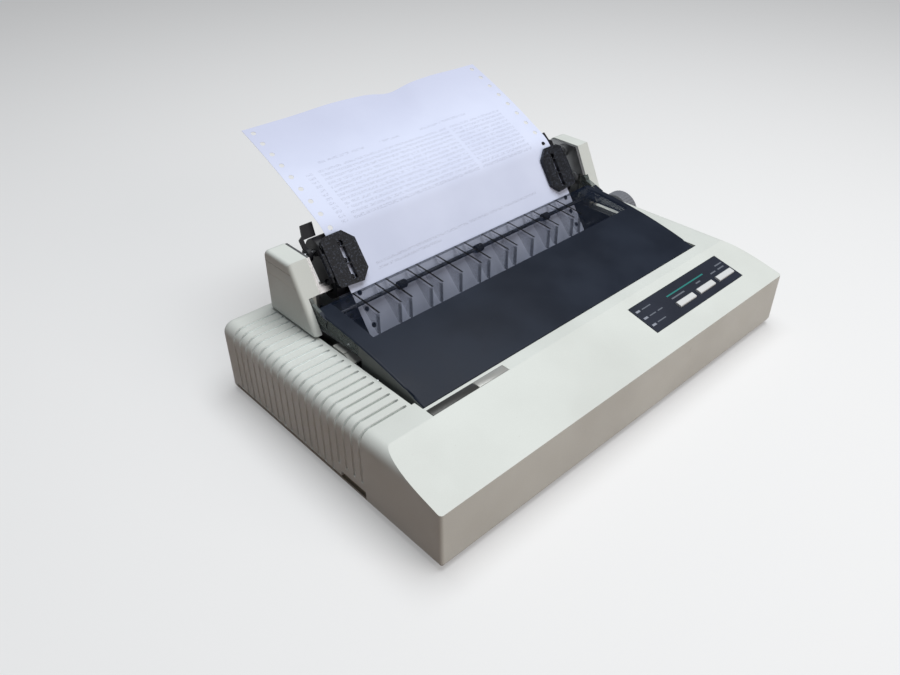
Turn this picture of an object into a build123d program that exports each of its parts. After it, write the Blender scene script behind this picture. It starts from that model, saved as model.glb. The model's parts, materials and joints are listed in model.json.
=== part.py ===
"""A desktop dot matrix printer with a smoked hinged cover and a pin-feed tractor unit.

Working axes: X to the user's right, Y to the back, Z up, with X = 0 on the middle of the case,
Y = 0 at its front face and Z = 0 at the table. Angles of shafts and gears are measured in the
YZ plane, from +Y towards +Z. The finished pieces are moved together at the end, so that the
origin is the middle of the whole part's box, at the table.
"""
from build123d import *
import math
import os

# ---------------------------------------------------------------- driving dimensions (mm)
CLEAR = 0.3                 # between pieces that don't turn in each other
RUNNING = 0.05              # radial gap of a shaft in its bore

# case
case_width = 377.0
rear_margin = 12.0          # behind the opening in the deck
wall = 2.5
foot_height = 4.0
foot_radius = 8.0
foot_inset = 24.0
base_floor = 2.0            # thickness of the lower case's floor
base_wall = 8.0             # height of its rim inside the upper case
base_reveal = 1.0           # how far the lower case stands back from the upper one
front_height = 47.4         # top edge of the front face
deck_height = 60.6          # flat top of the case
slope_depth = 53.9          # front face to the crease where the slope meets the deck
side_edge_radius = 9.0      # left and right top edges
rear_corner_radius = 8.0
front_corner_radius = 2.5
small_edge_radius = 3.0
inner_edge_radius = 14.0    # inside of the left and right top edges, so that grooves stay closed

# opening in the deck
opening_left = -147.6
opening_right = 158.0
opening_ledge = 9.7         # from the crease to the opening
opening_tail = 55.0         # behind the platen's axis
opening_front = slope_depth + opening_ledge
lip_depth = 10.0
lip_thickness = 2.0
corner_tab = (2.6, 8.0)     # small tongue at the opening's front left corner: width, length

# cooling grooves that wrap over the left edge
groove_count = 19
groove_pitch = 8.08
groove_first = opening_front + 9.7
groove_width = 2.2
groove_depth = 1.5
groove_inner_end = -151.7
groove_corner_radius = 10.0
groove_low_end = 9.0
groove_short_end = 19.0     # the first four stop higher
groove_short_count = 4
vent_hole = (2.4, 1.6)      # at the inner end of each groove
side_step_y = groove_first - 2.8     # behind this the side walls end higher
side_step_z = 8.6
side_slot_length = 26.0
side_slot_z = 13.0

# platen and paper path
platen_setback = 107.4      # from the opening's front edge to the platen's axis
platen_drop = 19.6          # from the deck down to the platen's axis
platen_y = opening_front + platen_setback
platen_z = deck_height - platen_drop
opening_back = platen_y + opening_tail
case_depth = opening_back + rear_margin
platen_radius = 15.5
platen_shaft_radius = 4.0
platen_length = 255.0
paper_middle = 8.6          # x of the middle of the paper, platen and tractors
paper_width = 241.3
paper_length = 279.4
paper_thickness = 0.3
paper_gap = 0.15
feed_angle = 55.0           # the paper leaves the platen at this slope
hole_pitch = 12.7
hole_span = 228.6
hole_radius = 2.0
paper_wrap = 200.0          # degrees of platen that the paper goes round
paper_straight = 78.0       # length of the straight stretch up through the tractors
paper_bend_radius = 30.0
paper_bend_angle = 26.0
paper_top_radius = 900.0

# knob, frames and shafts
knob_radius = 18.0
knob_width = 13.0
knob_gap = 2.5
knob_flutes = 36
knob_flute_radius = 1.2
frame_thickness = 1.5
left_frame_x = -138.1       # outer face
right_frame_x = 157.5       # outer face
frame_front = platen_y - 89.0
frame_back = opening_back - 12.0
frame_top = deck_height - 3.6
chassis_low = platen_z - 27.0
chassis_thickness = 1.2
guide_y = platen_y - 31.0
guide_z = platen_z - 17.0
guide_radius = 4.0

# gears (module and teeth)
gear_module = 0.75
platen_teeth = 40
idler_teeth = 30
tractor_teeth = 27
motor_teeth = 14
gear_x = 160.5              # left face of the gear train
gear_width = 5.0
backlash = 0.16
line_feed_motor_radius = 15.0
line_feed_motor_angle = -28.0

# smoked cover
cover_left = -144.6
cover_right = 155.0
cover_back = platen_y + 5.5
cover_thickness = 2.0
cover_front_z = deck_height + 0.6
cover_mid = (opening_front + 54.9, deck_height + 13.0)   # a point of the crown, y and z
cover_back_z = deck_height + 18.9
cover_skirt_z = deck_height - 3.6
cover_relief_y = platen_y - 45.0      # behind this the side walls are cut away
cover_relief_z = deck_height + 5.4
cover_edge_radius = 1.8
hinge_y = platen_y + 11.5
hinge_z = deck_height + 22.4
hinge_pin_radius = 2.0
hinge_lug_radius = 3.5
fin_pitch = 10.0
fin_first_x = -112.2
fin_steps = (0, 2, 3, 5, 6, 8, 10, 11, 13, 14, 16, 18, 19, 21, 22)
fin_thickness = 1.2
fin_knee_y = platen_y - 24.3
fin_low_z = deck_height - 1.6

# bail
bail_shaft_radius = 1.6
bail_roller_radius = 3.3
bail_roller_length = 7.4
bail_steps = (4, 12, 20)
bail_along = 25.5           # up the paper from the platen

# tractor unit
ear_left = (-151.4, -133.6)     # outer and inner face of the left cover
ear_right = (170.2, 152.4)
ear_top_back = (platen_y + 54.4, deck_height + 50.6)
ear_top_front = (platen_y + 22.3, deck_height + 50.4)
ear_front_foot = (platen_y - 1.9, deck_height + 2.4)
ear_back_foot = (platen_y + 55.7, deck_height + 2.4)
ear_radius = 6.0
ear_rim_radius = 3.0
ear_wall = 2.5
notch_back = hinge_y + 4.7
notch_top = hinge_z + 4.0
notch_wall = 1.8
hinge_pin_reach = 1.6       # into the ears' notch walls
notch_left_x = -145.6
notch_right_x = 158.0
drive_along = 46.3          # shafts, up the paper from the platen
guide_along = 72.1
shafts_behind = 11.2
square_shaft = 6.5
journal_radius = 3.0
tractor_guide_radius = 2.5
plate_thickness = 2.5
plate_reveal = 0.6          # of the covers' rim round the side plates
drive_boss_radius = 6.3
rail_boss_radius = 5.8
plate_screw = (platen_y + 31.9, deck_height + 26.3, 1.9)     # y, z and radius of its head
stud_radius = 2.5
stud_y = platen_y + 35.0
stud_z = deck_height - 8.6
leg_width = 14.0

# tractors
tractor_out = 14.5          # from the hole column to the outer side
tractor_in = 11.5
belt_half = 2.8
belt_radius = 10.2
belt_thickness = 1.2
pin_radius = 1.7
pin_height = 3.3
door_low = 1.0
door_thickness = 3.0
first_pin_along = 45.35
paddle_thickness = 2.4

# carriage, print head and belt
carriage_x = 68.0
carriage_half = 20.0
head_z = platen_z
head_radius = 15.0
head_y = platen_y - 57.0
nose_end_y = platen_y - 16.9
belt_y = platen_y - 67.0
belt_z = platen_z - 12.5
belt_height = 5.0
pulley_radius = 5.9
drive_pulley_x = -117.5
carriage_motor_radius = 17.5
idle_pulley_x = 140.0
cartridge = (left_frame_x + 8.1, right_frame_x - 9.5, opening_front + 10.4, platen_y - 63.0,
             platen_z + 3.0, platen_z + 16.0)
ribbon_y = nose_end_y + 0.2
ribbon_low = head_z - 5.5
ribbon_high = head_z + 7.5

# control panel, measured along the slope from the front top edge
panel_x = (40.6, 157.2)
panel_s = (18.8, 46.7)
panel_thickness = 1.2
panel_proud = 0.2
panel_gap = 0.35
button_size = (21.0, 5.4)
button_first_x = 89.2
button_pitch = 27.0
button_s = 27.6
button_height = 1.5
button_travel = 1.2
button_names = ("online_button", "line_feed_button", "form_feed_button")
led_x = 45.2
led_s = (25.2, 33.2, 40.9)
led_size = (4.5, 1.8)
badge = (-145.0, -77.0)     # x from, x to
badge_depth = 0.4


# ---------------------------------------------------------------- helpers
def block(x0, x1, y0, y1, z0, z1):
    """A box between two corners."""
    return Pos((x0 + x1) / 2, (y0 + y1) / 2, (z0 + z1) / 2) * Box(x1 - x0, y1 - y0, z1 - z0)


def rod(x0, x1, y, z, radius):
    """A cylinder along X."""
    return Pos((x0 + x1) / 2, y, z) * Rot(0, 90, 0) * Cylinder(radius, x1 - x0)


def post(x, y, z0, z1, radius):
    """A cylinder along Z."""
    return Pos(x, y, (z0 + z1) / 2) * Cylinder(radius, z1 - z0)


def plug(x, y0, y1, z, radius):
    """A cylinder along Y."""
    return Pos(x, (y0 + y1) / 2, z) * Rot(90, 0, 0) * Cylinder(radius, y1 - y0)


def slab(face, x0, x1):
    """A face drawn in (Y, Z), extruded from x0 to x1."""
    return extrude(Plane.YZ.offset(x0) * face, amount=x1 - x0)


def outline(*points):
    """A face bounded by straight lines."""
    return make_face(Polyline(*points, close=True))


def polar(radius, angle, centre=(0.0, 0.0)):
    """A point at a radius and an angle in degrees."""
    turn = math.radians(angle)
    return centre[0] + radius * math.cos(turn), centre[1] + radius * math.sin(turn)


# ---------------------------------------------------------------- derived frames and places
base_top = foot_height + base_floor
half_width = case_width / 2
slope = math.degrees(math.atan2(deck_height - front_height, slope_depth))
slope_cos = math.cos(math.radians(slope))
slope_sin = math.sin(math.radians(slope))
slope_plane = Plane(origin=(0, 0, front_height), x_dir=(1, 0, 0), z_dir=(0, -slope_sin, slope_cos))

feed_cos = math.cos(math.radians(feed_angle))
feed_sin = math.sin(math.radians(feed_angle))
paper_radius = platen_radius + paper_gap + paper_thickness / 2
feed_y, feed_z = polar(paper_radius, feed_angle + 90, (platen_y, platen_z))
# local axes: x as the case, y up along the paper, z out of its printed side
feed_plane = Plane(origin=(0, feed_y, feed_z), x_dir=(1, 0, 0), z_dir=(0, -feed_sin, feed_cos))


def feed_point(along, out):
    """The (Y, Z) of a place given along the paper and out of it."""
    return (feed_y + along * feed_cos - out * feed_sin,
            feed_z + along * feed_sin + out * feed_cos)


drive_y, drive_z = feed_point(drive_along, -shafts_behind)
rail_y, rail_z = feed_point(guide_along, -shafts_behind)
bail_out = bail_roller_radius + paper_thickness / 2 + CLEAR
bail_y, bail_z = feed_point(bail_along, bail_out)
left_column = paper_middle - hole_span / 2
right_column = paper_middle + hole_span / 2
knob_start = half_width + knob_gap
chassis_top = chassis_low + chassis_thickness


def pitch_radius(teeth):
    """Pitch radius of a gear of the common module."""
    return gear_module * teeth / 2


def triangle_corner(a, b, from_a, from_b):
    """The point at two distances from a and b, on the side behind the line."""
    span = math.dist(a, b)
    along = (span ** 2 + from_a ** 2 - from_b ** 2) / (2 * span)
    away = math.sqrt(from_a ** 2 - along ** 2)
    ux, uy = (b[0] - a[0]) / span, (b[1] - a[1]) / span
    return a[0] + along * ux + away * uy, a[1] + along * uy - away * ux


idler_y, idler_z = triangle_corner(
    (platen_y, platen_z), (drive_y, drive_z),
    pitch_radius(platen_teeth) + pitch_radius(idler_teeth),
    pitch_radius(idler_teeth) + pitch_radius(tractor_teeth))
motor_y, motor_z = polar(pitch_radius(platen_teeth) + pitch_radius(motor_teeth),
                         line_feed_motor_angle, (platen_y, platen_z))


def crown_circle():
    """Centre and radius of the arc that the cover's top follows."""
    ax, ay = opening_front + CLEAR, cover_front_z
    bx, by = cover_mid
    cx, cy = cover_back, cover_back_z
    det = 2 * (ax * (by - cy) + bx * (cy - ay) + cx * (ay - by))
    a2, b2, c2 = ax * ax + ay * ay, bx * bx + by * by, cx * cx + cy * cy
    ox = (a2 * (by - cy) + b2 * (cy - ay) + c2 * (ay - by)) / det
    oy = (a2 * (cx - bx) + b2 * (ax - cx) + c2 * (bx - ax)) / det
    return (ox, oy), math.dist((ox, oy), (ax, ay))


crown_centre, crown_radius = crown_circle()


def crown(y, inset=0.0):
    """Height of the cover's top at a depth, or of a surface inset below it."""
    return crown_centre[1] + math.sqrt((crown_radius - inset) ** 2 - (y - crown_centre[0]) ** 2)


# ---------------------------------------------------------------- gears
def gear_face(teeth, phase):
    """A spur gear outline with near-involute flanks and a tooth centred at the phase angle."""
    pitch = pitch_radius(teeth)
    base = pitch * math.cos(math.radians(20))
    tip, root = pitch + 0.85 * gear_module, pitch - 1.2 * gear_module
    involute = math.tan(math.radians(20)) - math.radians(20)

    def half_angle(radius):
        press = math.acos(min(1.0, base / radius))
        grow = math.pi / (2 * teeth) + involute - (math.tan(press) - press)
        return math.degrees(grow - backlash / (2 * pitch))

    points = []
    for tooth in range(teeth):
        middle = phase + tooth * 360 / teeth
        for side in (-1, 1):
            radii = (root, pitch, tip) if side < 0 else (tip, pitch, root)
            for radius in radii:
                angle = middle + side * half_angle(max(radius, base))
                points.append(polar(radius, angle))
    return outline(*points)


def mate_phase(teeth, phase, place, mate_teeth, mate_place):
    """The phase that puts a mating gear's gap on this gear's tooth."""
    toward = math.degrees(math.atan2(mate_place[1] - place[1], mate_place[0] - place[0]))
    step, mate_step = 360 / teeth, 360 / mate_teeth
    offset = ((toward - phase) / step) % 1.0
    return toward + 180 - (0.5 - offset) * mate_step


def gear(teeth, phase, place, bore, hub=0.0, hub_length=0.0):
    """A gear of the train, on its shaft."""
    y, z = place
    body = slab(Pos(y, z) * gear_face(teeth, phase), gear_x, gear_x + gear_width)
    if hub:
        body += rod(gear_x + gear_width, gear_x + gear_width + hub_length, y, z, hub)
    return body - rod(gear_x - 1, gear_x + gear_width + hub_length + 1, y, z, bore)


# ---------------------------------------------------------------- case
def case_block(inset, edge_radius, low):
    """The case's outer form, or the same form inset, from a low level up."""
    side = half_width - inset
    body = block(-side, side, inset, case_depth - inset, low, deck_height - inset)
    body = fillet(body.edges().filter_by(Axis.Y).group_by(Axis.Z)[-1], edge_radius)
    reach = case_depth / slope_cos
    body -= slope_plane * block(-half_width - 1, half_width + 1, -deck_height, reach, -inset, deck_height)
    uprights = body.edges().filter_by(Axis.Z)
    body = fillet(uprights.filter_by(lambda e: e.center().Y > case_depth / 2), rear_corner_radius - inset)
    uprights = body.edges().filter_by(Axis.Z)
    return fillet(uprights.filter_by(lambda e: e.center().Y < inset + 0.01), front_corner_radius - inset / 2)


def groove_tool(y, low):
    """What one cooling groove takes out of the deck, the rounded edge and the side."""
    out = 1.0
    left, top = -half_width, deck_height
    r = groove_corner_radius
    floor_x, floor_z = left + groove_depth, top - groove_depth
    mid = polar(r, 135, (floor_x + r, floor_z - r))
    line = (Polyline((floor_x, floor_z - r), (floor_x, low), (left - out, low), (left - out, top + out),
                     (groove_inner_end, top + out), (groove_inner_end, floor_z), (floor_x + r, floor_z))
            + ThreePointArc((floor_x + r, floor_z), mid, (floor_x, floor_z - r)))
    plane = Plane(origin=(0, y + groove_width / 2, 0), x_dir=(1, 0, 0), z_dir=(0, -1, 0))
    return extrude(plane * make_face(line), amount=groove_width)


def make_upper_case():
    body = case_block(0, side_edge_radius, base_top)
    body -= case_block(wall, inner_edge_radius, base_top - 1)
    lip = block(opening_left - lip_thickness, opening_right + lip_thickness,
                opening_front - lip_thickness, opening_back + lip_thickness,
                deck_height - lip_depth, deck_height - wall / 2)
    body += lip
    hole = block(opening_left, opening_right, opening_front, opening_back,
                 deck_height - lip_depth - 1, deck_height + 1)
    gear_slot = block(opening_right - 1, gear_x + gear_width + 3, idler_y - 16, idler_y + 15,
                      deck_height - lip_depth - 1, deck_height + 1)
    body -= [hole, gear_slot]
    tab_width, tab_length = corner_tab
    body += block(opening_left - 1, opening_left + tab_width, opening_front - 1, opening_front + tab_length,
                  deck_height - wall, deck_height)
    for x, y in screw_places():
        body += post(x, y, base_top + 5, roof(y) - wall / 2, 4.0)
        body -= post(x, y, base_top, base_top + 18, 1.5)
    tools = []
    for index in range(groove_count):
        y = groove_first + index * groove_pitch
        low = groove_short_end if index < groove_short_count else groove_low_end
        tools.append(groove_tool(y, low))
        hx, hy = vent_hole
        tools.append(block(groove_inner_end - hx / 2, groove_inner_end + hx / 2, y - hy / 2, y + hy / 2,
                           deck_height - wall - 1, deck_height + 1))
    tools.append(side_slot())
    step_end = case_depth - rear_corner_radius - 2
    for sx in (-1, 1):
        x0, x1 = sorted((sx * (half_width + 1), sx * (half_width - wall - CLEAR / 2)))
        tools.append(block(x0, x1, side_step_y, step_end, base_top - 1, side_step_z))
    tools.append(rod(half_width - wall - 1, half_width + 1, platen_y, platen_z, platen_shaft_radius + 1.5))
    tools.append(panel_tool())
    tools.append(block(*connector_cutout()))
    tools.append(block(*inlet_cutout()))
    body -= tools
    body -= block(*badge, slope_depth + 0.4, opening_front - lip_thickness - 0.4,
                  deck_height - badge_depth, deck_height + 1)
    for x in (panel_x[0] + 8, panel_x[1] - 8):
        body += slope_plane * block(x - 3, x + 3, panel_s[1] - 0.2, panel_s[1] + 4,
                                    -board_drop, -wall + 0.5)
    return body


def side_slot():
    """The notch under the short grooves, through the left wall."""
    return block(-half_width - 1, -half_width + 8, side_step_y, side_step_y + side_slot_length,
                 side_step_z - 1, side_slot_z)


def panel_tool():
    """Recess for the control panel and the window under it."""
    x0, x1 = panel_x
    s0, s1 = panel_s
    gap = panel_gap
    recess = block(x0 - gap, x1 + gap, s0 - gap, s1 + gap, panel_proud - panel_thickness, 3)
    window = block(x0 + 1.6, x1 - 0.8, s0 + 2.5, s1 - 2.5, -wall - 4, 1)
    return slope_plane * (recess + window)


def connector_cutout():
    return connector_x[0], connector_x[1], case_depth - wall - 3, case_depth + 1, *connector_z


def inlet_cutout():
    return inlet_x[0], inlet_x[1], case_depth - wall - 3, case_depth + 1, *inlet_z


connector_x = (half_width - 126.5, half_width - 58.5)
connector_z = (base_top + 10.0, base_top + 25.0)
inlet_x = (22.5 - half_width, 86.5 - half_width)
inlet_z = (base_top + 7.0, base_top + 31.0)
board_drop = 9.5


def roof(y):
    """Height of the case's outer top at a depth."""
    return min(deck_height, front_height + math.tan(math.radians(slope)) * y)


def screw_places():
    """The four case screws."""
    return [(sx * (half_width - 14), y) for sx in (-1, 1) for y in (16, case_depth - 16)]


def foot_places():
    depths = (foot_inset + 10, case_depth - foot_inset)
    return [(sx * (half_width - foot_inset), y) for sx in (-1, 1) for y in depths]


def standoff_places():
    """Posts of the lower case: under the main board and under the chassis plate."""
    board = [(x, y, board_low) for x in (board_x[0] + 6, 10, board_x[1] - 6)
             for y in (board_y[0] + 5, board_y[1] - 5)]
    chassis = [(x, y, chassis_low) for x in (left_frame_x + 5, right_frame_x - 5.5)
               for y in (frame_front + 5, frame_back - 10)]
    return board + chassis


board_low = base_top + 5.0
board_x = (left_frame_x + 8.1, right_frame_x - 7.5)
board_y = (12.0, frame_front - 14.0)


def make_lower_case():
    reveal = base_reveal
    outer = half_width - reveal
    floor = block(-outer, outer, reveal, case_depth - reveal, foot_height, base_top)
    corners = floor.edges().filter_by(Axis.Z)
    floor = fillet(corners.filter_by(lambda e: e.center().Y > case_depth / 2), rear_corner_radius - reveal)
    corners = floor.edges().filter_by(Axis.Z)
    floor = fillet(corners.filter_by(lambda e: e.center().Y < reveal + 0.01), front_corner_radius - reveal)
    edge = wall + CLEAR
    rim = block(edge - half_width, half_width - edge, edge, case_depth - edge, base_top, base_top + base_wall)
    rim = fillet(rim.edges().filter_by(Axis.Z), rear_corner_radius - wall)
    inner = edge + 1.8
    rim -= block(inner - half_width, half_width - inner, inner, case_depth - inner,
                 base_top, base_top + base_wall)
    body = floor + rim
    body -= [block(*connector_cutout()), block(*inlet_cutout())]
    body -= side_slot()
    body += [post(x, y, base_top, base_top + 5, 5.0) for x, y in screw_places()]
    body += [post(x, y, base_top, top, 3.5) for x, y, top in standoff_places()]
    holes = [post(x, y, foot_height - 1, base_top + 6, 1.8) for x, y in screw_places()]
    holes += [post(x, y, foot_height - 1, foot_height + 1.8, 3.4) for x, y in screw_places()]
    for row in range(8):
        y = 100 + row * 9
        holes.append(block(12.5 - half_width, 38.5 - half_width, y, y + 3, foot_height - 1, base_top + 1))
    return body - holes


def make_feet():
    feet = []
    for x, y in foot_places():
        foot = Pos(x, y, foot_height / 2) * Rot(180, 0, 0) * Cone(foot_radius, foot_radius - 1, foot_height)
        feet.append(foot)
    return Compound(children=feet)


def make_case_screws():
    screws = []
    for x, y in screw_places():
        screws.append(post(x, y, foot_height, foot_height + 1.8, 3.0)
                      + post(x, y, foot_height + 1.8, base_top + 16, 1.45))
    return Compound(children=screws)


# ---------------------------------------------------------------- control panel
def button_x(index):
    return button_first_x + index * button_pitch


def make_control_panel():
    x0, x1 = panel_x
    s0, s1 = panel_s
    low = panel_proud - panel_thickness
    plate = block(x0, x1, s0, s1, low, panel_proud)
    plate = fillet(plate.edges().filter_by(Axis.Z), 1.5)
    for index in range(len(button_names)):
        x = button_x(index)
        plate -= button_block(x, 0.2, 0.2, low - 1, 1)
    for s in led_s:
        plate -= lamp_block(s, 0.1, low - 1, 1)
    return slope_plane * plate


def lamp_block(s, margin, z0, z1):
    """The rectangular form of one indicator lamp, or of its window with a margin."""
    w, h = led_size[0] / 2 + margin, led_size[1] / 2 + margin
    return block(led_x - w, led_x + w, s - h, s + h, z0, z1)


def button_block(x, margin_x, margin_s, z0, z1):
    """A keycap's plan form, with margins along and across the panel."""
    w, h = button_size[0] / 2 + margin_x, button_size[1] / 2 + margin_s
    return block(x - w, x + w, button_s - h, button_s + h, z0, z1)


def make_button(index):
    """A long keycap with a retaining flange and a stem over its switch."""
    x = button_x(index)
    under = panel_proud - panel_thickness
    cap = button_block(x, 0, 0, under - 0.5, panel_proud + button_height)
    cap = fillet(cap.edges().filter_by(Axis.X).group_by(Axis.Z)[-1], 1.0)
    flange = button_block(x, 0.6, 1.0, under - 1.1, under - 0.1)
    stem = block(x - 1.5, x + 1.5, button_s - 1.5, button_s + 1.5,
                 switch_top() + button_travel + 0.1, under - 0.5)
    return slope_plane * (cap + flange + stem)


def switch_top():
    return -board_drop + 4.6


def make_panel_board():
    x0, x1 = panel_x
    board = block(x0 + 1, x1 - 1, panel_s[0] + 1, panel_s[1] + 4, -board_drop - 1.6, -board_drop)
    for index in range(len(button_names)):
        x = button_x(index)
        board += block(x - 3, x + 3, button_s - 3, button_s + 3, -board_drop, switch_top() - 1)
        board += post(x, button_s, switch_top() - 1, switch_top(), 1.4)
    board += block(x0 + 16, x0 + 30, panel_s[0] + 6, panel_s[0] + 11, -board_drop - 6, -board_drop - 1.6)
    return slope_plane * board


def make_leds():
    """Three lamps that stand on the panel board and end flush in their windows."""
    lamps = [lamp_block(s, 0, -board_drop, panel_proud + 0.15) for s in led_s]
    return Compound(children=[slope_plane * lamp for lamp in lamps])


# ---------------------------------------------------------------- boards and power
def make_main_board():
    """The logic and supply board: long chips, capacitors, and a heat sink with its fins."""
    x0, x1 = board_x
    y0, y1 = board_y
    top = board_low + 1.6
    board = block(x0, x1, y0, y1, board_low, top)
    for x in (x0 + 18, x0 + 58, x0 + 100):
        board += block(x - 7, x + 7, y0 + 8, y1 - 16, top, top + 4)
    board += block(x0 + 140, x0 + 190, y0 + 12, y1 - 28, top, top + 4)
    for x in (x1 - 66, x1 - 46, x1 - 26):
        board += post(x, y0 + 14, top, top + 18, 8)
    sink_x = (x1 - 74, x1 - 10)
    for fin in range(6):
        y = y1 - 24 + fin * 4
        board += block(*sink_x, y, y + 1.6, top + 3, top + 22)
    board += block(*sink_x, y1 - 24, y1 - 2.4, top, top + 3)
    return board + block(x0 + 150, x0 + 182, y1 - 16, y1 - 8, top, top + 9)


def make_transformer():
    """A stack of laminations round its wound bobbin, at the left wall."""
    x0, x1 = 7.5 - half_width, 39.5 - half_width
    y0, y1 = platen_y - 75, platen_y - 23
    core = block(x0, x1, y0, y1, base_top, base_top + 40)
    core -= [block(x0 - 1, x1 + 1, y0 + 8, y0 + 16, base_top + 8, base_top + 32),
             block(x0 - 1, x1 + 1, y1 - 16, y1 - 8, base_top + 8, base_top + 32)]
    coil = block(x0 - 2, x1 + 1.5, y0 + 8.5, y1 - 8.5, base_top + 8.5, base_top + 31.5)
    coil = fillet(coil.edges().filter_by(Axis.Z), 4)
    return core + coil


def make_power_inlet():
    """A moulded rear module: the mains socket with its three blades, and the switch's pocket."""
    x0, x1 = inlet_x
    z0, z1 = inlet_z
    back = case_depth
    body = block(x0 + 0.2, x1 - 0.2, back - 22, back, z0 + 0.2, z1 - 0.2)
    body += block(x0 - 2, x1 + 2, back, back + 1.6, z0 - 2, z1 + 2)
    sx, sz = x0 + 20, (z0 + z1) / 2
    socket = block(sx - 12, sx + 12, back - 15, back + 3, sz - 8, sz + 8)
    socket = chamfer(socket.edges().filter_by(Axis.Y).group_by(Axis.Z)[-1], 4)
    body -= socket
    body += [block(sx - 1, sx + 1, back - 15, back - 4, sz + 1.5, sz + 5.5),
             block(sx - 8, sx - 6, back - 15, back - 4, sz - 4, sz),
             block(sx + 6, sx + 8, back - 15, back - 4, sz - 4, sz)]
    rx = rocker_x
    body -= block(rx - 7, rx + 7, back - 10, back + 3, sz - 10.5, sz + 10.5)
    body += [rod(rx - 7, rx - 5.2, rocker_y, sz, 1.2), rod(rx + 5.2, rx + 7, rocker_y, sz, 1.2)]
    return body


rocker_x = inlet_x[1] - 14.0
rocker_y = case_depth - 3.0
rocker_z = (inlet_z[0] + inlet_z[1]) / 2
rocker_tilt = 9.0


def make_power_rocker():
    """The rocker, stored in its off position, tilted about its cross pivot."""
    half = 9.2
    face = outline((-4.5, -half), (4.8, -half), (2.6, 0), (4.8, half), (-4.5, half), (-5.6, 0))
    body = slab(face, rocker_x - 6.5, rocker_x + 6.5)
    body -= rod(rocker_x - 7, rocker_x - 4.9, 0, 0, 1.2 + RUNNING)
    body -= rod(rocker_x + 4.9, rocker_x + 7, 0, 0, 1.2 + RUNNING)
    return Pos(0, rocker_y, rocker_z) * Rot(-rocker_tilt, 0, 0) * body


def make_interface_connector():
    x0, x1 = connector_x
    z0, z1 = connector_z
    xm, zm = (x0 + x1) / 2, (z0 + z1) / 2
    back = case_depth
    body = block(x0 + 0.2, x1 - 0.2, back - 12, back, z0 + 0.2, z1 - 0.2)
    shell = block(xm - 28, xm + 28, back, back + 4, zm - 5.5, zm + 5.5)
    shell = chamfer(shell.edges().filter_by(Axis.Y).group_by(Axis.Z)[0], 3)
    body += shell
    well = block(xm - 26.5, xm + 26.5, back - 6, back + 5, zm - 4, zm + 4)
    body -= chamfer(well.edges().filter_by(Axis.Y).group_by(Axis.Z)[0], 2.6)
    body += block(xm - 23, xm + 23, back - 6, back - 1.5, zm - 1.2, zm + 1.2)
    return body


# ---------------------------------------------------------------- chassis
def make_chassis_plate():
    """A pressed plate whose front edge is bent up as the carriage's front rail, with the motor's hole."""
    x0, x1 = left_frame_x, right_frame_x
    plate = block(x0, x1, frame_front, frame_back, chassis_low, chassis_top)
    plate -= block(x0 + 38, x1 - 47.5, frame_front + 30, frame_front + 46, chassis_low - 1, chassis_top + 1)
    plate -= post(drive_pulley_x, belt_y, chassis_low - 1, chassis_top + 1, carriage_motor_radius + 0.1)
    rail_start = drive_pulley_x + carriage_motor_radius + 1.5
    rail = block(rail_start, x1 - 12, frame_front + 4, frame_front + 5.2, chassis_top, rail_top)
    rail += block(rail_start, x1 - 12, frame_front + 4, frame_front + 11, rail_top - 1.2, rail_top)
    plate += rail
    x = idle_pulley_x
    return plate + post(x, belt_y, chassis_top, belt_z + belt_height + 1.2, 2.0)


rail_top = guide_z - 2.2


def frame_face(with_idler):
    """Side frame outline: a tall rear part round the platen, a low waist and a front post."""
    low = chassis_top
    points = [(frame_front, low), (frame_back, low), (frame_back, frame_top)]
    if with_idler:
        rear = notch_back - CLEAR
        points += [(rear, frame_top), (rear, idler_z + 5), (idler_y - 6, idler_z + 5),
                   (idler_y - 6, frame_top)]
    waist, post_top = platen_z - 1, cartridge[5] - 3
    points += [(platen_y - 20, frame_top), (guide_y - 2, waist), (frame_front + 18, waist),
               (frame_front + 16, post_top), (frame_front, post_top)]
    return outline(*points)


def make_frame(left):
    """A steel side frame with its bent foot, bearings' holes and the studs that it carries."""
    x0 = left_frame_x if left else right_frame_x - frame_thickness
    x1 = x0 + frame_thickness
    body = slab(frame_face(not left), x0, x1)
    foot = (x0 - 8, x0) if left else (x1, x1 + 8)
    body += block(*foot, frame_front + 8, frame_back - 8, chassis_top, chassis_top + frame_thickness)
    collar = (x0 - 2, x0) if left else (x1, x1 + 2)
    body += rod(collar[0], collar[1], platen_y, platen_z, collar_radius)
    cuts = [rod(x0 - 3, x1 + 3, platen_y, platen_z, platen_shaft_radius + RUNNING),
            rod(x0 - 1, x1 + 1, guide_y, guide_z, guide_radius),
            rod(x0 - 1, x1 + 1, roller_y, roller_z, roller_shaft_radius),
            block(x0 - 1, x1 + 1, cartridge_pin_y - 2.1, cartridge_pin_y + 2.1,
                  cartridge_pin_z - 2.1, frame_top)]
    if not left:
        cuts.append(rod(x0 - 1, x1 + 1, motor_y, motor_z, 3.5))
    body -= cuts
    inner = (x1, ear_left[1]) if left else (ear_right[1], x0)
    body += rod(inner[0], inner[1], stud_y, stud_z, stud_radius)
    if left:
        body += rod(lever_pivot_x, x0, lever_y, lever_z, 3.0)
    else:
        body += rod(x1, gear_x + gear_width + 1.5, idler_y, idler_z, 2.5)
    return body


collar_radius = 8.0
roller_radius = 5.0
roller_angle = 250.0
roller_y, roller_z = polar(platen_radius + paper_gap * 2 + paper_thickness + roller_radius + 0.15,
                           roller_angle, (platen_y, platen_z))
roller_shaft_radius = 1.5
cartridge_pin_y = frame_front + 8.0
cartridge_pin_z = cartridge[5] - 6.5
lever_y = platen_y - 26.0
lever_z = platen_z - 6.5
lever_pivot_x = -143.0


def make_guide_shaft():
    return rod(left_frame_x - 2, right_frame_x + 2, guide_y, guide_z, guide_radius)


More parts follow.
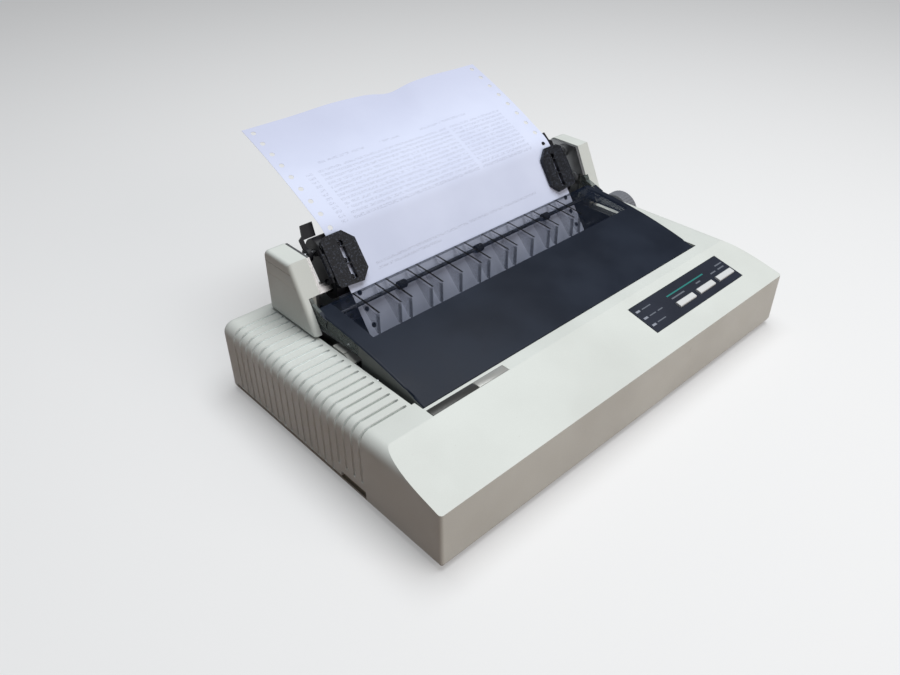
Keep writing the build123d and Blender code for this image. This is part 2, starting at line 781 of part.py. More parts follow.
# ---------------------------------------------------------------- platen, feed and paper
def make_platen():
    x0 = paper_middle - platen_length / 2
    body = rod(x0, x0 + platen_length, platen_y, platen_z, platen_radius)
    body = chamfer(body.edges().filter_by(GeomType.CIRCLE), 0.6)
    return body - rod(x0 - 1, x0 + platen_length + 1, platen_y, platen_z, platen_shaft_radius)


def make_platen_shaft():
    body = rod(left_frame_x - 4, knob_start + knob_width - 2, platen_y, platen_z, platen_shaft_radius)
    return chamfer(body.edges().filter_by(GeomType.CIRCLE), 0.5)


def make_knob():
    """A fluted grip with a closed outer face and a short hub."""
    x0, x1 = knob_start, knob_start + knob_width
    body = rod(x0, x1, platen_y, platen_z, knob_radius)
    body = fillet(body.edges().filter_by(GeomType.CIRCLE), 1.2)
    flutes = []
    for index in range(knob_flutes):
        y, z = polar(knob_radius + 0.7, index * 360 / knob_flutes, (platen_y, platen_z))
        flutes.append(rod(x0 - 1, x1 + 1, y, z, knob_flute_radius))
    body -= flutes
    return body - rod(x0 - 1, x1 - 2, platen_y, platen_z, platen_shaft_radius)


def make_line_feed_motor():
    x1 = right_frame_x - frame_thickness
    body = rod(x1 - 15, x1 - 1.5, motor_y, motor_z, line_feed_motor_radius)
    body = chamfer(body.edges().filter_by(GeomType.CIRCLE), 0.8)
    body += rod(x1 - 1.5, x1, motor_y, motor_z, line_feed_motor_radius - 2)
    return body + rod(x1, right_frame_x + 0.6, motor_y, motor_z, 3.4)


def make_line_feed_pinion(phase):
    y, z = motor_y, motor_z
    body = slab(Pos(y, z) * gear_face(motor_teeth, phase), gear_x, gear_x + gear_width)
    return body + rod(right_frame_x + 0.7, gear_x, y, z, 1.5)


def make_pressure_rollers():
    rollers = []
    for offset in (-90, -30, 30, 90):
        x = paper_middle + offset
        body = rod(x - 10, x + 10, roller_y, roller_z, roller_radius)
        rollers.append(body - rod(x - 11, x + 11, roller_y, roller_z, roller_shaft_radius + RUNNING))
    return Compound(children=rollers)


def make_pressure_shaft():
    return rod(left_frame_x, right_frame_x, roller_y, roller_z, roller_shaft_radius)


def arc_sheet(radius, thickness, start, end, x0, x1):
    """A curved sheet about the platen's axis."""
    centre = (platen_y, platen_z)
    middle = (start + end) / 2
    out = radius + thickness
    line = (ThreePointArc(polar(radius, start, centre), polar(radius, middle, centre),
                          polar(radius, end, centre))
            + Line(polar(radius, end, centre), polar(out, end, centre))
            + ThreePointArc(polar(out, end, centre), polar(out, middle, centre), polar(out, start, centre))
            + Line(polar(out, start, centre), polar(radius, start, centre)))
    return slab(make_face(line), x0, x1)


def make_paper_pan():
    """The curved guide under the platen, with windows for the pressure rollers."""
    inner = platen_radius + 2.1
    x0, x1 = left_frame_x + frame_thickness, right_frame_x - frame_thickness
    motor_end = x1 - 15 - 1.5
    body = arc_sheet(inner, 0.8, 215, 345, x0, motor_end)
    body += arc_sheet(inner, 0.8, 215, 262, motor_end, x1)
    for offset in (-90, -30, 30, 90):
        x = paper_middle + offset
        body -= block(x - 11, x + 11, roller_y - 5.6, roller_y + 5.6, roller_z - 7, roller_z + 7)
    return body


def paper_line():
    """The paper's middle line in (Y, Z), from its top edge down and round the platen."""
    straight_end = feed_point(paper_straight, 0)
    bend_centre = (straight_end[0] + paper_bend_radius * feed_sin,
                   straight_end[1] - paper_bend_radius * feed_cos)
    bend_start = feed_angle + 90
    bend_end = bend_start - paper_bend_angle
    bend_stop = polar(paper_bend_radius, bend_end, bend_centre)
    top_angle = feed_angle - paper_bend_angle
    used = paper_straight + math.radians(paper_bend_angle) * paper_bend_radius
    above = 13.5 * hole_pitch + first_pin_along - 2 * hole_pitch - used
    top_centre = (bend_stop[0] + paper_top_radius * math.sin(math.radians(top_angle)),
                  bend_stop[1] - paper_top_radius * math.cos(math.radians(top_angle)))
    top_turn = math.degrees(above / paper_top_radius)
    wrap_start = feed_angle + 90
    wrap_end = wrap_start + paper_wrap
    tail = paper_length - used - above - math.radians(paper_wrap) * paper_radius
    return {"straight_end": straight_end, "bend": (bend_centre, bend_start, bend_end),
            "top": (top_centre, bend_end, bend_end - top_turn), "wrap": (wrap_start, wrap_end), "tail": tail}


def paper_curve(offset):
    """The paper's line moved out by an offset, as edges from the top edge to the tail."""
    path = paper_line()

    def arc(centre, radius, start, end):
        return ThreePointArc(polar(radius, start, centre), polar(radius, (start + end) / 2, centre),
                             polar(radius, end, centre))

    top_centre, top_start, top_end = path["top"]
    bend_centre, bend_start, bend_end = path["bend"]
    wrap_start, wrap_end = path["wrap"]
    centre = (platen_y, platen_z)
    top = arc(top_centre, paper_top_radius + offset, top_end, top_start)
    bend = arc(bend_centre, paper_bend_radius + offset, bend_end, bend_start)
    straight = Line(feed_point(paper_straight, offset), feed_point(0, offset))
    wrap = arc(centre, paper_radius + offset, wrap_start, wrap_end)
    start = polar(paper_radius + offset, wrap_end, centre)
    turn = math.radians(wrap_end)
    end = (start[0] - path["tail"] * math.sin(turn), start[1] + path["tail"] * math.cos(turn))
    return top + bend + straight + wrap + Line(start, end), (top @ 0), end


def make_paper():
    half = paper_thickness / 2
    outer, outer_top, outer_end = paper_curve(half)
    inner, inner_top, inner_end = paper_curve(-half)
    line = outer + inner + Line(tuple(outer_top)[:2], tuple(inner_top)[:2]) + Line(outer_end, inner_end)
    body = slab(make_face(line), paper_middle - paper_width / 2, paper_middle + paper_width / 2)
    pins = []
    for column in (left_column, right_column):
        for row in range(-2, 4):
            along = first_pin_along + row * hole_pitch
            pins.append(feed_plane * Pos(column, along, 0) * Cylinder(hole_radius, 4))
    return body - pins


# ---------------------------------------------------------------- smoked cover
def crown_face(inset, y0, y1, low):
    """The face under the cover's crown, between two depths and down to a level."""
    middle = (y0 + y1) / 2
    line = (ThreePointArc((y0, crown(y0, inset)), (middle, crown(middle, inset)), (y1, crown(y1, inset)))
            + Polyline((y1, crown(y1, inset)), (y1, low), (y0, low), (y0, crown(y0, inset))))
    return make_face(line)


def make_cover():
    """A crowned shell with side walls, hinge lugs with their pins, and paper guide fins."""
    front = opening_front + CLEAR
    t = cover_thickness
    body = slab(crown_face(0, front, cover_back, cover_skirt_z), cover_left, cover_right)
    tops = [edge for edge in body.edges().filter_by(GeomType.CIRCLE)
            if abs(edge.center().X - cover_left) < 0.01 or abs(edge.center().X - cover_right) < 0.01]
    body = fillet(tops, cover_edge_radius)
    body -= slab(crown_face(t, front + t, cover_back + 5, cover_skirt_z - 5), cover_left + t, cover_right - t)
    body -= block(cover_left - 1, cover_right + 1, front - 1, front + t + 1,
                  cover_skirt_z - 1, cover_front_z - 3.0)
    body -= block(cover_left - 1, cover_right + 1, cover_relief_y, cover_back + 1,
                  cover_skirt_z - 1, cover_relief_z)
    lug = cover_lug()
    body += slab(lug, notch_left_x + 0.5, cover_left + t)
    body += slab(lug, cover_right - t, notch_right_x - 0.5)
    body += rod(notch_left_x - hinge_pin_reach, notch_left_x + 1, hinge_y, hinge_z, hinge_pin_radius)
    body += rod(notch_right_x - 1, notch_right_x + hinge_pin_reach, hinge_y, hinge_z, hinge_pin_radius)
    fins = []
    for step in fin_steps:
        x = fin_first_x + step * fin_pitch
        fins.append(slab(fin_face(), x - fin_thickness / 2, x + fin_thickness / 2))
    body += fins
    return body


def cover_lug():
    """A hinge lug that rises from the side wall's rear end to the pin."""
    y, r = hinge_y, hinge_lug_radius
    root = cover_back - 14
    face = outline((root, crown(root) - 1.5), (y - r, hinge_z), (y, hinge_z),
                   (y + r * 0.7, hinge_z - r * 0.7), (cover_back - 2, cover_back_z - 8),
                   (cover_back - 12, cover_back_z - 10))
    return face + Pos(y, hinge_z) * Circle(r)


def fin_face():
    """A guide fin: flat against the crown, upright in front, sloped behind along the paper."""
    gap = 1.6
    knee = (fin_knee_y, crown(fin_knee_y, 1.0))
    back = cover_back - 1.0
    lean = feed_cos / feed_sin
    line_y = feed_y - gap / feed_sin
    low = fin_low_z
    bail_low = bail_z - bail_roller_radius - 1.0
    rear_low = line_y + (bail_low - feed_z) * lean - 10
    face = outline(knee, (fin_knee_y, low), (fin_knee_y + 3.0, low), (rear_low, bail_low),
                   (bail_y - 3.0, bail_z + bail_shaft_radius + 0.9),
                   (bail_y + 2.0, bail_z + bail_shaft_radius + 0.9),
                   (back, crown(back, 1.0)))
    return face


def make_bail_shaft():
    """The bail's shaft, clipped in the cover's side walls."""
    x0 = cover_left + cover_thickness
    x1 = cover_right - cover_thickness
    return rod(x0, x1, bail_y, bail_z, bail_shaft_radius)


def make_bail_rollers():
    rollers = []
    for step in bail_steps:
        x = fin_first_x + step * fin_pitch
        body = rod(x - bail_roller_length / 2, x + bail_roller_length / 2, bail_y, bail_z, bail_roller_radius)
        body = fillet(body.edges().filter_by(GeomType.CIRCLE), 0.8)
        rollers.append(body - rod(x - 5, x + 5, bail_y, bail_z, bail_shaft_radius + RUNNING))
    return Compound(children=rollers)


# ---------------------------------------------------------------- tractor unit
def ear_face(extend=0.0):
    """Side outline of a tractor cover, or the same with its foot carried further down."""
    front_lean = (ear_top_front[0] - ear_front_foot[0]) / (ear_top_front[1] - ear_front_foot[1])
    back_lean = (ear_top_back[0] - ear_back_foot[0]) / (ear_top_back[1] - ear_back_foot[1])
    face = outline(ear_top_back, ear_top_front,
                   (ear_front_foot[0] - extend * front_lean, ear_front_foot[1] - extend),
                   (ear_back_foot[0] - extend * back_lean, ear_back_foot[1] - extend))
    corners = face.vertices().group_by(Axis.Y)[-1]
    return fillet(corners, ear_radius)


def ear_inside():
    """The same outline inset by the cover's wall, and open at the foot."""
    return offset(ear_face(2 * ear_wall), amount=-ear_wall)


def make_ear(outer, inner, notch_x, stud=None):
    """A tractor cover: a cup that is open towards the paper and below, with a notch for the cover's lug."""
    x0, x1 = min(outer, inner), max(outer, inner)
    out = math.copysign(1, outer - inner)
    body = slab(ear_face(), x0, x1)
    outside = body.faces().filter_by(Axis.X).group_by(Axis.X)[0 if out < 0 else -1]
    rim = [edge for edge in outside.edges() if edge.center().Z > ear_front_foot[1] + 1]
    body = fillet(rim, ear_rim_radius)
    c0, c1 = sorted((outer - out * ear_wall, inner - out))
    cavity = slab(ear_inside(), c0, c1)
    front = ear_front_foot[0] - 5
    shelf = ear_wall
    cavity -= block(x0 - 2, x1 + 2, front, notch_back + shelf, 0, notch_top + shelf)
    body -= cavity
    if abs(notch_x - outer) > ear_wall + 2 * notch_wall:
        o0, o1 = sorted((outer - out * ear_wall, notch_x + out * notch_wall))
        body -= slab(ear_inside(), o0, o1)
    n0, n1 = sorted((notch_x, inner - out))
    body -= block(n0, n1, front, notch_back, ear_front_foot[1] - 2, notch_top)
    pin0, pin1 = sorted((notch_x, notch_x + out * (hinge_pin_reach + CLEAR)))
    body -= rod(pin0, pin1, hinge_y, hinge_z, hinge_pin_radius + RUNNING)
    if stud:
        body -= block(notch_x - 1, notch_x + notch_wall + 1, stud[0] - 4, stud[0] + 4,
                      ear_front_foot[1] - 1, stud[1] + 4)
    return body


def plate_face():
    """Outline of a tractor side plate, inside its cover, with its leg."""
    face = offset(ear_face(), amount=-plate_reveal)
    low, top, back = ear_front_foot[1], notch_top + CLEAR, notch_back + CLEAR
    front = ear_front_foot[0] - 10
    face -= Pos((front + back) / 2, top - 25) * Rectangle(back - front, 50)
    leg = Pos(stud_y, (stud_z - 5 + low + 6) / 2) * Rectangle(leg_width, low + 6 - stud_z + 5)
    slot = Pos(stud_y, stud_z - 4) * Rectangle(stud_radius * 2 + 0.3, 8)
    slot += Pos(stud_y, stud_z) * Circle(stud_radius + 0.15)
    return face + leg - slot


def make_tractor_plates():
    plates = []
    for x0, side in ((ear_left[1] - plate_thickness, 1), (ear_right[1], -1)):
        x1 = x0 + plate_thickness
        body = slab(plate_face(), x0, x1)
        boss = (x1, x1 + 1.7) if side > 0 else (x0 - 1.7, x0)
        body += rod(boss[0], boss[1], drive_y, drive_z, drive_boss_radius)
        body += rod(boss[0], boss[1], rail_y, rail_z, rail_boss_radius)
        body += rod(boss[0], boss[1], *plate_screw)
        body -= rod(x0 - 3, x1 + 3, drive_y, drive_z, journal_radius + RUNNING)
        body -= rod(x0 - 3, x1 + 3, rail_y, rail_z, tractor_guide_radius)
        plates.append(body)
    return Compound(children=plates)


def make_tractor_shaft():
    """The square drive shaft with round journals; its right journal carries the gear."""
    x0, x1 = ear_left[1] + 2.2, ear_right[1] - 2.2
    square = Rot(feed_angle, 0, 0) * Box(x1 - x0, square_shaft, square_shaft)
    body = Pos((x0 + x1) / 2, drive_y, drive_z) * square
    body += rod(ear_left[1] - plate_thickness - 1, x0, drive_y, drive_z, journal_radius)
    return body + rod(x1, gear_x + gear_width, drive_y, drive_z, journal_radius)


def make_tractor_guide():
    x0, x1 = ear_left[1] - plate_thickness, ear_right[1] + plate_thickness
    return rod(x0, x1, rail_y, rail_z, tractor_guide_radius)


def stadium(radius):
    """A loop outline round both tractor shafts, in the feed frame's (along, out)."""
    middle = (drive_along + guide_along) / 2
    return Pos(middle, -shafts_behind) * SlotCenterToCenter(guide_along - drive_along, 2 * radius)


def side_slab(face, x0, x1):
    """A face drawn in the feed frame's (along, out), extruded across from x0 to x1."""
    plane = Plane(origin=(x0, feed_y, feed_z), x_dir=(0, feed_cos, feed_sin), z_dir=(1, 0, 0))
    return extrude(plane * face, amount=x1 - x0)


def span(column, side, near, far):
    """Two x values at distances from the hole column, towards the outer side where positive."""
    return sorted((column + side * near, column + side * far))


def make_tractor_frame(column, side):
    """A tractor's two halves, joined along the column, with bores for the shafts and the door's hinge pin."""
    middle = (drive_along + guide_along) / 2
    strand = belt_radius - belt_thickness - 0.4
    halves = []
    for near, far in ((-tractor_in, 0), (0, tractor_out)):
        x0, x1 = span(column, side, near, far)
        half = side_slab(stadium(belt_radius), x0, x1)
        s0, s1 = span(column, side, -belt_half - 0.4, belt_half + 0.4)
        half -= side_slab(stadium(belt_radius + 1) - Pos(middle, -shafts_behind) * Rectangle(7, 60), s0, s1)
        for way in (-1, 1):
            half -= side_slab(Pos(middle, -shafts_behind + way * (strand + 15)) * Rectangle(9, 30), s0, s1)
        half -= rod(x0 - 1, x1 + 1, drive_y, drive_z, 5.0)
        half -= rod(x0 - 1, x1 + 1, rail_y, rail_z, tractor_guide_radius + RUNNING)
        if far:
            half += tractor_hinge(column, side, middle)
        halves.append(half)
    return Compound(children=halves)


def tractor_hinge(column, side, middle):
    """Two lugs on the tractor's outer cheek and the door's hinge pin between them."""
    h0, h1 = span(column, side, tractor_out - 0.5, tractor_out + 3.5)
    t0, t1 = span(column, side, tractor_out + 0.9, tractor_out + 3.5)
    hx = column + side * door_hinge
    parts = Pos(hx, middle, hinge_out) * Rot(90, 0, 0) * Cylinder(0.9, 20)
    for v0, v1 in ((middle - 12.6, middle - 9.3), (middle + 9.3, middle + 12.6)):
        eye = Pos(hx, (v0 + v1) / 2, hinge_out) * Rot(90, 0, 0) * Cylinder(1.3, v1 - v0)
        parts += block(h0, h1, v0, v1, -5, 0.4) + block(t0, t1, v0, v1, -2, hinge_out) + eye
    return feed_plane * parts


door_hinge = 16.4
hinge_out = 1.2


def make_belt_pulley(column, side):
    """The pulley inside a pin belt, driven by the square shaft that it slides along."""
    x0, x1 = span(column, side, -belt_half, belt_half)
    body = rod(x0, x1, drive_y, drive_z, belt_radius - belt_thickness - 0.2)
    size = square_shaft + 0.2
    hole = Pos((x0 + x1) / 2, drive_y, drive_z) * Rot(feed_angle, 0, 0) * Box(10, size, size)
    return body - hole


def make_pin_belt(column, side):
    """The pin belt: a loop round both shafts, with tapered pins where it meets the paper."""
    x0, x1 = span(column, side, -belt_half, belt_half)
    body = side_slab(stadium(belt_radius) - stadium(belt_radius - belt_thickness), x0, x1)
    for row in range(3):
        along = first_pin_along + row * hole_pitch
        base = -shafts_behind + belt_radius
        pin = Pos(column, along, base + pin_height / 2 - 0.2) * Cone(pin_radius, pin_radius * 0.5, pin_height)
        body += feed_plane * pin
    return body


def make_tractor_door(column, side):
    """The clamping door, with two long slots and a hole over the pins, and its hinge barrel."""
    shape = [(-9.1, 78.9), (4.6, 79.1), (12.9, 70.9), (13.3, 47.2), (6.0, 39.6), (-13.8, 41.1),
             (-15.0, 43.7), (-14.4, 76.2)]
    face = outline(*[(column - side * x, v) for x, v in shape])
    plate = extrude(face, amount=door_thickness)
    plate = Pos(0, 0, door_low) * plate
    for v0, v1 in ((45.0 - 1.6, 54.6), (58.05 - 2.2, 67.6)):
        plate -= block(column - 2.1, column + 2.1, v0, v1, 0, 6)
    plate -= Pos(column, first_pin_along + 2 * hole_pitch, 2) * Cylinder(2.2, 8)
    middle = (drive_along + guide_along) / 2
    hx = column + side * door_hinge
    barrel = Pos(hx, middle, hinge_out) * Rot(90, 0, 0) * Cylinder(1.8, 18)
    web0, web1 = sorted((hx, column + side * 14.0))
    barrel += block(web0, web1, middle - 9, middle + 9, door_low, door_low + 2)
    barrel -= Pos(hx, middle, hinge_out) * Rot(90, 0, 0) * Cylinder(0.9 + RUNNING, 30)
    return feed_plane * (plate + barrel)


def make_lock_lever(column, side):
    """The lever that clamps a tractor on its guide shaft, with a paddle that leans over the tractor."""
    near, far = tractor_out + 3.9, tractor_out + 6.7
    x0, x1 = span(column, side, near, far)
    body = rod(x0, x1, rail_y, rail_z, 5.0)
    clear = guide_along + belt_radius + 0.6
    shape = [(far, guide_along), (far, clear + 1), (far - 3.2, clear + 3), (far - 5.2, guide_along + 21),
             (far - 14.8, guide_along + 21), (far - 13.2, clear), (near, clear), (near, guide_along)]
    face = outline(*[(column + side * x, v) for x, v in shape])
    out = -shafts_behind
    body += feed_plane * Pos(0, 0, out - paddle_thickness / 2) * extrude(face, amount=paddle_thickness)
    return body - rod(x0 - 1, x1 + 1, rail_y, rail_z, tractor_guide_radius + RUNNING)


# ---------------------------------------------------------------- carriage and ribbon
def make_carriage():
    x0, x1 = carriage_x - carriage_half, carriage_x + carriage_half
    sleeve = block(x0, x1, guide_y - 7.5, guide_y + 7.5, guide_z - 7.5, guide_z + 7.5)
    sleeve -= rod(x0 - 1, x1 + 1, guide_y, guide_z, guide_radius + RUNNING)
    deck = block(x0, x1, frame_front + 3, guide_y - 7, rail_top + 0.1, rail_top + 3.1)
    c0, c1, belt_top = carriage_x - 6, carriage_x + 6, belt_z + belt_height
    clamp = block(c0, c1, belt_y + 4.0, belt_y + 5.6, rail_top + 3, belt_top)
    clamp += block(c0, c1, belt_y + 7.5, belt_y + 9.0, rail_top + 3, belt_top)
    cradle = block(carriage_x - 13, carriage_x + 13, head_y + 1, head_y + 16, rail_top + 3, head_z - 7)
    cradle -= plug(carriage_x, head_y - 4, head_y + 21, head_z, head_radius + 0.05)
    return sleeve + deck + clamp + cradle


def make_print_head():
    """A finned round head whose nose tapers to the wire guide."""
    x = carriage_x
    body = plug(x, head_y, head_y + 17, head_z, head_radius - 3)
    for index in range(5):
        y = head_y + index * 3.6
        body += plug(x, y, y + 2.0, head_z, head_radius)
    nose = Pos(x, head_y + 24, head_z) * Rot(-90, 0, 0) * Cone(10, 5, 14)
    tip = block(x - 3, x + 3, head_y + 29, nose_end_y, head_z - 6, head_z + 6)
    return body + nose + chamfer(tip.edges().filter_by(Axis.Z).group_by(Axis.Y)[-1], 1.5)


def make_ribbon_guide():
    """The thin guard that carries the ribbon past the print head's nose."""
    x, low = carriage_x, guide_z + 7.5
    back = nose_end_y - 3.9
    plate = block(x - carriage_half - 1, x + carriage_half + 1, back - 1.2, back, low, head_z + 14)
    plate = fillet(plate.edges().filter_by(Axis.Y).group_by(Axis.Z)[-1], 4)
    plate -= block(x - 4, x + 4, back - 2, back + 1, low - 1, head_z + 8)
    for sx in (-1, 1):
        a0, a1 = sorted((x + sx * 17, x + sx * 19))
        plate += block(a0, a1, guide_y - 7.5, back - 0.7, low, low + 3)
    return plate


def belt_face(radius):
    middle = (drive_pulley_x + idle_pulley_x) / 2
    return Pos(middle, belt_y) * SlotCenterToCenter(idle_pulley_x - drive_pulley_x, 2 * radius)


def make_carriage_belt():
    ring = belt_face(pulley_radius + 1.3) - belt_face(pulley_radius + 0.1)
    return extrude(Pos(0, 0, belt_z) * ring, amount=belt_height)


def make_pulley(x, bore):
    """A flanged belt pulley with a stub shaft where it has no bore."""
    top = belt_z + belt_height
    body = post(x, belt_y, belt_z - 0.2, top + 0.2, pulley_radius)
    body += post(x, belt_y, top + 0.2, top + 1.2, pulley_radius + 2)
    if bore:
        return body - post(x, belt_y, belt_z - 1, top + 2, bore)
    return body + post(x, belt_y, belt_z - 1.4, belt_z - 0.2, 1.5)


def make_carriage_motor():
    """A flat stepper let into the chassis plate under its pulley, and held by its flange."""
    x, y, top = drive_pulley_x, belt_y, rail_top - 0.9
    body = post(x, y, base_top + 2, top, carriage_motor_radius)
    body = chamfer(body.edges().filter_by(GeomType.CIRCLE), 1.0)
    body += post(x, y, chassis_top, chassis_top + 1.2, carriage_motor_radius + 1.3)
    return body + post(x, y, top, belt_z - 1.5, 3)


def make_ribbon_cartridge():
    x0, x1, y0, y1, z0, z1 = cartridge
    body = block(x0, x1, y0, y1, z0, z1)
    body = fillet(body.edges().filter_by(Axis.Z), 8)
    body = chamfer(body.edges().group_by(Axis.Z)[-1], 1.0)
    horn = outline((y1 - 10, z0), (y1 - 10, z0 + 8), (ribbon_y - 10, ribbon_high + 1.5),
                   (ribbon_y + 0.6, ribbon_high + 1.5),
                   (ribbon_y + 0.6, ribbon_low - 1), (ribbon_y - 8, ribbon_low - 1))
    body += [slab(horn, x0, x0 + 6), slab(horn, x1 - 6, x1)]
    body -= post(knob_place[0], knob_place[1], z1 - 1.5, z1 + 1, 7.5)
    body -= post(knob_place[0], knob_place[1], z1 - 6, z1 + 1, 2 + RUNNING)
    pins = [rod(left_frame_x, x0 + 2, cartridge_pin_y, cartridge_pin_z, 2.0),
            rod(x1 - 2, right_frame_x, cartridge_pin_y, cartridge_pin_z, 2.0)]
    return body + pins


knob_place = (cartridge[0] + 18.0, cartridge[2] + 18.0)


def make_ribbon_knob():
    x, y = knob_place
    z1 = cartridge[5]
    body = post(x, y, z1 - 1.4, z1 + 2.4, 6.5)
    bites = [post(*polar(7.6, a, (x, y)), z1 - 2, z1 + 3, 1.6) for a in range(0, 360, 45)]
    return body - bites + post(x, y, z1 - 5.5, z1 - 1.4, 2.0)


def make_ribbon():
    x0, x1 = cartridge[0] + 6, cartridge[1] - 6
    return block(x0, x1, ribbon_y, ribbon_y + 0.2, ribbon_low, ribbon_high)


def make_release_lever():
    """The lever at the left of the opening: an arm on its pivot and a flat head that slopes down in front."""
    arm_x = (lever_pivot_x + 0.5, left_frame_x - 0.8)
    y0, y1 = lever_y - 12.0, lever_y + 10.0
    low, top = deck_height - 3.6, deck_height + 0.4
    face = outline((lever_y - 5, lever_z), (lever_y + 5, lever_z),
                   (lever_y + 4, low + 1), (lever_y - 4, low + 1))
    face += Pos(lever_y, lever_z) * Circle(6)
    body = slab(face, *arm_x)
    head = outline((y0, low), (y1, low), (y1, top), (y0 + 8.5, top), (y0, low + 1.2))
    x0, x1 = opening_left + 0.6, arm_x[1]
    body += slab(head, x0, x1)
    ridge = outline((y1 - 12.5, top - 1), (y1, top - 1), (y1, top + 0.9), (y1 - 12.5, top + 0.9))
    body += slab(ridge, x0, (x0 + x1) / 2)
    return body - rod(arm_x[0] - 1, arm_x[1] + 1, lever_y, lever_z, 3.0 + RUNNING)


# ---------------------------------------------------------------- assembly
def build():
    """Every node, in working axes."""
    places = {"platen": (platen_y, platen_z), "idler": (idler_y, idler_z), "drive": (drive_y, drive_z),
              "motor": (motor_y, motor_z)}
    idler_phase = mate_phase(platen_teeth, 0.0, places["platen"], idler_teeth, places["idler"])
    tractor_phase = mate_phase(idler_teeth, idler_phase, places["idler"], tractor_teeth, places["drive"])
    motor_phase = mate_phase(platen_teeth, 0.0, places["platen"], motor_teeth, places["motor"])
    nodes = {
        "upper_case": make_upper_case(),
        "lower_case": make_lower_case(),
        "rubber_feet": make_feet(),
        "case_screws": make_case_screws(),
        "control_panel": make_control_panel(),
        "status_leds": make_leds(),
        "panel_board": make_panel_board(),
        "main_board": make_main_board(),
        "transformer": make_transformer(),
        "power_inlet": make_power_inlet(),
        "power_rocker": make_power_rocker(),
        "interface_connector": make_interface_connector(),
        "chassis_plate": make_chassis_plate(),
        "left_frame": make_frame(True),
        "right_frame": make_frame(False),
        "guide_shaft": make_guide_shaft(),
        "platen_roller": make_platen(),
        "platen_shaft": make_platen_shaft(),
        "platen_gear": gear(platen_teeth, 0.0, places["platen"], platen_shaft_radius, 7.0, 3.0),
        "platen_knob": make_knob(),
        "idler_gear": gear(idler_teeth, idler_phase, places["idler"], 2.5 + RUNNING),
        "tractor_gear": gear(tractor_teeth, tractor_phase, places["drive"], journal_radius),
        "line_feed_motor": make_line_feed_motor(),
        "line_feed_pinion": make_line_feed_pinion(motor_phase),
        "pressure_shaft": make_pressure_shaft(),
        "pressure_rollers": make_pressure_rollers(),
        "paper_pan": make_paper_pan(),
        "fanfold_paper": make_paper(),
        "smoked_cover": make_cover(),
        "bail_shaft": make_bail_shaft(),
        "bail_rollers": make_bail_rollers(),
        "left_tractor_cover": make_ear(ear_left[0], ear_left[1] - plate_thickness, notch_left_x),
        "right_tractor_cover": make_ear(ear_right[0], ear_right[1] + plate_thickness, notch_right_x,
                                        (idler_y, idler_z)),
        "tractor_plates": make_tractor_plates(),
        "tractor_drive_shaft": make_tractor_shaft(),
        "tractor_guide_shaft": make_tractor_guide(),
        "carriage": make_carriage(),
        "print_head": make_print_head(),
        "ribbon_guide": make_ribbon_guide(),
        "carriage_belt": make_carriage_belt(),
        "carriage_motor": make_carriage_motor(),
        "drive_pulley": make_pulley(drive_pulley_x, 0),
        "idle_pulley": make_pulley(idle_pulley_x, 2.0 + RUNNING),
        "ribbon_cartridge": make_ribbon_cartridge(),
        "ribbon": make_ribbon(),
        "ribbon_knob": make_ribbon_knob(),
        "release_lever": make_release_lever(),
    }
    for index, name in enumerate(button_names):
        nodes[name] = make_button(index)
    for name, column, side in (("left", left_column, -1), ("right", right_column, 1)):
        nodes[f"{name}_tractor"] = make_tractor_frame(column, side)
        nodes[f"{name}_pin_belt"] = make_pin_belt(column, side)
        nodes[f"{name}_belt_pulley"] = make_belt_pulley(column, side)
        nodes[f"{name}_tractor_door"] = make_tractor_door(column, side)
        nodes[f"{name}_lock_lever"] = make_lock_lever(column, side)
    return nodes


def main():
    nodes = build()
    box = Compound(children=[Part() + shape for shape in nodes.values()]).bounding_box()
    middle = Location((-(box.min.X + box.max.X) / 2, -(box.min.Y + box.max.Y) / 2, 0))
    os.makedirs("parts", exist_ok=True)
    for name, shape in nodes.items():
        solids = (middle * shape).solids()
        piece = solids[0] if len(solids) == 1 else Compound(children=list(solids))
        export_step(piece, f"parts/{name}.step")
    print("origin moved by", tuple(round(v, 3) for v in middle.position))


main()
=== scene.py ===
"""Looks of a desktop dot matrix printer with a smoked hinged cover and a pin-feed tractor unit.

Places are given in millimetres on the case's own axes: X to the right from the case's middle, Y back
from its front face, Z up from the table. at() turns them into the frame's metres.
"""

import json
import math

import bmesh
import bpy
from mathutils import Matrix, Vector


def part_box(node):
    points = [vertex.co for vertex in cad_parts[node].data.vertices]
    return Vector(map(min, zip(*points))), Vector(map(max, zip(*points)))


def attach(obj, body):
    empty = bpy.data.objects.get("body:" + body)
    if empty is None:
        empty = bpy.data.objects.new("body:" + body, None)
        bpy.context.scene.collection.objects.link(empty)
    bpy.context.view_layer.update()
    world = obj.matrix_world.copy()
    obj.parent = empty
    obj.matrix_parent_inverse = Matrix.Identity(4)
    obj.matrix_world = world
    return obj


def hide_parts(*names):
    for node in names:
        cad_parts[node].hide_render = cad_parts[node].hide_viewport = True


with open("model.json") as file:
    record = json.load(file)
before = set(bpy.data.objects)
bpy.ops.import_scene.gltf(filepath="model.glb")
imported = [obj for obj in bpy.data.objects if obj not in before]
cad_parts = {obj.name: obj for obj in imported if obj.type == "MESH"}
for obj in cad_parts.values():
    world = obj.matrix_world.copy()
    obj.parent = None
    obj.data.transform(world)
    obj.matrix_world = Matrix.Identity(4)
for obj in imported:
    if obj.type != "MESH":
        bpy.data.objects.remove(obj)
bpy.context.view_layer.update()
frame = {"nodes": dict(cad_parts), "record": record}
bpy.ops.object.select_all(action="DESELECT")

case_low, case_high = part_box("upper_case")
ORIGIN = Vector(((case_low[0] + case_high[0]) / 2, case_low[1], 0))
MM = 0.001
PER_METRE = 1000


def at(x, y, z):
    """A place on the case's axes, in the frame's metres."""
    return ORIGIN + Vector((x, y, z)) * MM


